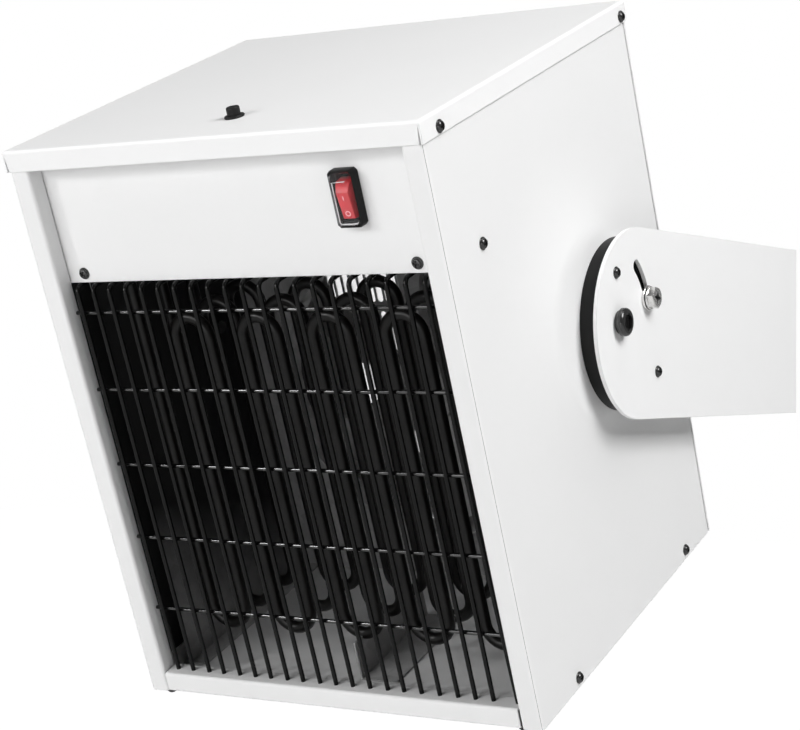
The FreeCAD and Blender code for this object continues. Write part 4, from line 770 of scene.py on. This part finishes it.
ROCKER_AXIS, ROCKER_TIP = SWITCH + Vector((0, 3.4, 0)), math.radians(10)
ROCKER = CASE @ Matrix.Translation(ROCKER_AXIS) @ Matrix.Rotation(ROCKER_TIP, 4, "X")
ROCKER_FACE = -10.5
rocker = bmesh.new()
rocker_rings = (
    (3.6, -5, 5, 5), (5, -11, 11, 1), (5, -11, 11, -5.5),
    (4.5, -10.6, 10.1, -7.4), (3.9, -10.1, 6.1, ROCKER_FACE),
)
rings = []
for half, low, high, along in rocker_rings:
    corners = ((-half, low), (half, low), (half, high), (-half, high))
    rings.append([Vector((across, along, up)) for across, up in corners])
loft(rocker, rings)
for side in (RIGHT, LEFT):
    lathe(rocker, [(0, 4.9), (1.5, 4.9), (1.5, 6.9), (0, 6.9)], facing(side, (0, 0, 0)), 20)
rocker_mesh = modified(to_mesh("rocker_lens", rocker), "BEVEL", width=0.35, segments=3, limit_method="ANGLE")
show("rocker_lens", rocker_mesh, ROCKER, "rocker", "red_lens", ["rocker"], sharp=40)

marks = bmesh.new()
block(marks, (-0.27, -0.06, -1.4), (0.27, 0.2, 1.4), Matrix.Translation((0, ROCKER_FACE, 2.9)))
ring_place = facing(FRONT, (0, ROCKER_FACE, -6.8))
lathe(marks, [(1.2, -0.2), (1.7, -0.2), (1.7, 0.06), (1.2, 0.06), (1.2, -0.2)], ring_place, 32)
show("rocker_marks", to_mesh("rocker_marks", marks), ROCKER, "rocker", "red_lens", material=switch_mark)

# Rear panel with its fine air slots


def ring_spline(curve, spots):
    spline = curve.splines.new("POLY")
    spline.points.add(len(spots) - 1)
    for point, (across, up) in zip(spline.points, spots):
        point.co = (across, up, 0, 1)
    spline.use_cyclic_u = True


EDGE_BREAK = 0.12
plate = bpy.data.curves.new("rear_plate", "CURVE")
plate.dimensions = "2D"
plate.fill_mode = "BOTH"
plate.extrude = STEEL / 2 - EDGE_BREAK
plate.bevel_depth = EDGE_BREAK
plate.offset = -EDGE_BREAK
outline = [(-SIDE_OUT, CASE_BOTTOM), (SIDE_OUT, CASE_BOTTOM), (SIDE_OUT, CASE_TOP), (-SIDE_OUT, CASE_TOP)]
ring_spline(plate, outline)
SLOT_PITCH, SLOT_RADIUS, SLOT_TALL = 6.8, 2.4, 33.5
SLOT_ROW_PITCH, SLOT_LIFT = 40.8, 6.9
SLOT_REACH = SLOT_TALL / 2 - SLOT_RADIUS
SLOT_STEPS = 6
ROWS_EACH_WAY, OUTER_COLUMN, MIDDLE_ROW_OUTER = 2, 18, 14
for row in range(-ROWS_EACH_WAY, ROWS_EACH_WAY + 1):
    outer = OUTER_COLUMN if row else MIDDLE_ROW_OUTER
    for column in range(-outer, outer + 1):
        across, up = column * SLOT_PITCH, FAN_HEIGHT + SLOT_LIFT + row * SLOT_ROW_PITCH
        spots = []
        for end in (1, -1):
            for step in range(SLOT_STEPS + 1):
                angle = math.pi * step / SLOT_STEPS + (0 if end > 0 else math.pi)
                height = up + end * SLOT_REACH + SLOT_RADIUS * math.sin(angle)
                spots.append((across + SLOT_RADIUS * math.cos(angle), height))
        ring_spline(plate, spots)
GLAND_ACROSS, GLAND_UP, GLAND_RADIUS, GLAND_STEPS = -96, LID_TOP - 52, 10.05, 32
spots = []
for step in range(GLAND_STEPS):
    angle = 2 * math.pi * step / GLAND_STEPS
    spots.append((GLAND_ACROSS + GLAND_RADIUS * math.cos(angle), GLAND_UP + GLAND_RADIUS * math.sin(angle)))
ring_spline(plate, spots)
plate_holder = bpy.data.objects.new("rear_plate", plate)
bpy.context.scene.collection.objects.link(plate_holder)
bpy.context.view_layer.update()
finished = plate_holder.evaluated_get(bpy.context.evaluated_depsgraph_get())
plate_mesh = bpy.data.meshes.new_from_object(finished)
bpy.data.objects.remove(plate_holder)
plate_place = Matrix.Translation((0, CASE_BACK - STEEL / 2, 0)) @ Matrix.Rotation(math.pi / 2, 4, "X")
show("rear_panel_slotted", plate_mesh, CASE @ plate_place, "head", "white_coat", ["rear_panel"])

# Floor, light and camera

MIRRORED_SHARE = 0.25


def any_seen(tree):
    """1 for rays that show the background, straight or through glass, and less for mirrored ones."""
    rays = tree.nodes.new("ShaderNodeLightPath")
    mirrored = tree.nodes.new("ShaderNodeMath")
    mirrored.operation = "MULTIPLY"
    mirrored.inputs[1].default_value = MIRRORED_SHARE
    wire(tree, rays, "Is Glossy Ray", mirrored, 0)
    first = tree.nodes.new("ShaderNodeMath")
    first.operation = "MAXIMUM"
    second = tree.nodes.new("ShaderNodeMath")
    second.operation = "MAXIMUM"
    wire(tree, rays, "Is Camera Ray", first, 0)
    wire(tree, mirrored, 0, first, 1)
    wire(tree, first, 0, second, 0)
    wire(tree, rays, "Is Transmission Ray", second, 1)
    return second.outputs[0]


def backdrop(name, color, share):
    """A pale floor that looks white and keeps the object's shadow."""
    material = bpy.data.materials.new(name)
    material.use_nodes = True
    tree = material.node_tree
    tree.nodes.clear()
    out = tree.nodes.new("ShaderNodeOutputMaterial")
    plain = tree.nodes.new("ShaderNodeBsdfDiffuse")
    plain.inputs["Color"].default_value = (*color, 1)
    faint = tree.nodes.new("ShaderNodeBsdfDiffuse")
    faint.inputs["Color"].default_value = (share, share, share, 1)
    place = tree.nodes.new("ShaderNodeTexCoord")
    distance = tree.nodes.new("ShaderNodeVectorMath")
    distance.operation = "LENGTH"
    fade = tree.nodes.new("ShaderNodeMapRange")
    for socket, value in (("From Min", 1.0), ("From Max", 2.0), ("To Min", 0.93), ("To Max", 1.0)):
        fade.inputs[socket].default_value = value
    glow = tree.nodes.new("ShaderNodeEmission")
    wire(tree, place, "Object", distance, 0)
    wire(tree, distance, "Value", fade, "Value")
    wire(tree, fade, "Result", glow, "Strength")
    seen = tree.nodes.new("ShaderNodeAddShader")
    wire(tree, faint, 0, seen, 0)
    wire(tree, glow, 0, seen, 1)
    mix = tree.nodes.new("ShaderNodeMixShader")
    tree.links.new(any_seen(tree), mix.inputs[0])
    wire(tree, plain, 0, mix, 1)
    wire(tree, seen, 0, mix, 2)
    wire(tree, mix, 0, out, "Surface")
    return material


FLOOR_HALF, FLOOR_TOP, FLOOR_UNDER = 6, -0.7, -0.72
floor_low = (-FLOOR_HALF, -FLOOR_HALF, FLOOR_UNDER)
floor_shape = block(bmesh.new(), floor_low, (FLOOR_HALF, FLOOR_HALF, FLOOR_TOP))
floor = bpy.data.objects.new("floor", to_mesh("floor", floor_shape))
floor.data.materials.append(backdrop("pale_floor", (0.8, 0.8, 0.8), 0.15))
bpy.context.scene.collection.objects.link(floor)
floor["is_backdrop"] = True

world = bpy.data.worlds.new("studio")
bpy.context.scene.world = world
world.use_nodes = True
tree = world.node_tree
tree.nodes.clear()
out = tree.nodes.new("ShaderNodeOutputWorld")
ambient = tree.nodes.new("ShaderNodeBackground")
ambient.inputs["Color"].default_value = (1, 1, 1, 1)
ambient.inputs["Strength"].default_value = 0.01
white = tree.nodes.new("ShaderNodeBackground")
white.inputs["Color"].default_value = (1, 1, 1, 1)
white.inputs["Strength"].default_value = 1.0
mix = tree.nodes.new("ShaderNodeMixShader")
tree.links.new(any_seen(tree), mix.inputs[0])
wire(tree, ambient, 0, mix, 1)
wire(tree, white, 0, mix, 2)
wire(tree, mix, 0, out, "Surface")

TARGET = Vector((0, -0.34, 0))


def lamp(name, spot, width, height, power):
    data = bpy.data.lights.new(name, "AREA")
    data.shape = "RECTANGLE"
    data.size, data.size_y = width, height
    data.energy = power
    light = bpy.data.objects.new(name, data)
    light.location = spot
    light.rotation_mode = "QUATERNION"
    light.rotation_quaternion = (TARGET - Vector(spot)).to_track_quat("-Z", "Y")
    bpy.context.scene.collection.objects.link(light)


lamp("soft_front", (-0.45, -2.45, 0.3), 1.2, 1.0, 18.5)
lamp("low_front", (0.2, -2.4, -0.5), 1.4, 0.6, 6.5)
lamp("spark", (-1.38, -2.25, 0.5), 0.3, 0.3, 12)
lamp("right", (2.1, -0.6, 1.5), 1.0, 1.0, 49)
lamp("right_front", (1.7, -1.2, 1.9), 1.0, 1.0, 21)
lamp("top", (0.6, -0.9, 2.5), 1.0, 1.0, 11)

SENSOR_WIDTH, FOCAL_PIXELS, PICTURE_WIDTH = 36.0, 1997.6, 800
CAMERA_SPOT = (0.705723, -1.424218, -0.031266)
CAMERA_PITCH, CAMERA_ROLL, CAMERA_YAW = 90.2107, -0.1395, 31.9123
camera_data = bpy.data.cameras.new("camera")
camera_data.sensor_width = SENSOR_WIDTH
camera_data.lens = SENSOR_WIDTH * FOCAL_PIXELS / PICTURE_WIDTH
camera_data.clip_end = 30.0
camera = bpy.data.objects.new("camera", camera_data)
turn = Euler([math.radians(angle) for angle in (CAMERA_PITCH, CAMERA_ROLL, CAMERA_YAW)])
camera.matrix_world = Matrix.Translation(CAMERA_SPOT) @ turn.to_matrix().to_4x4()
bpy.context.scene.collection.objects.link(camera)
bpy.context.scene.camera = camera

bpy.context.scene.view_settings.view_transform = "Standard"

low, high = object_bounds()
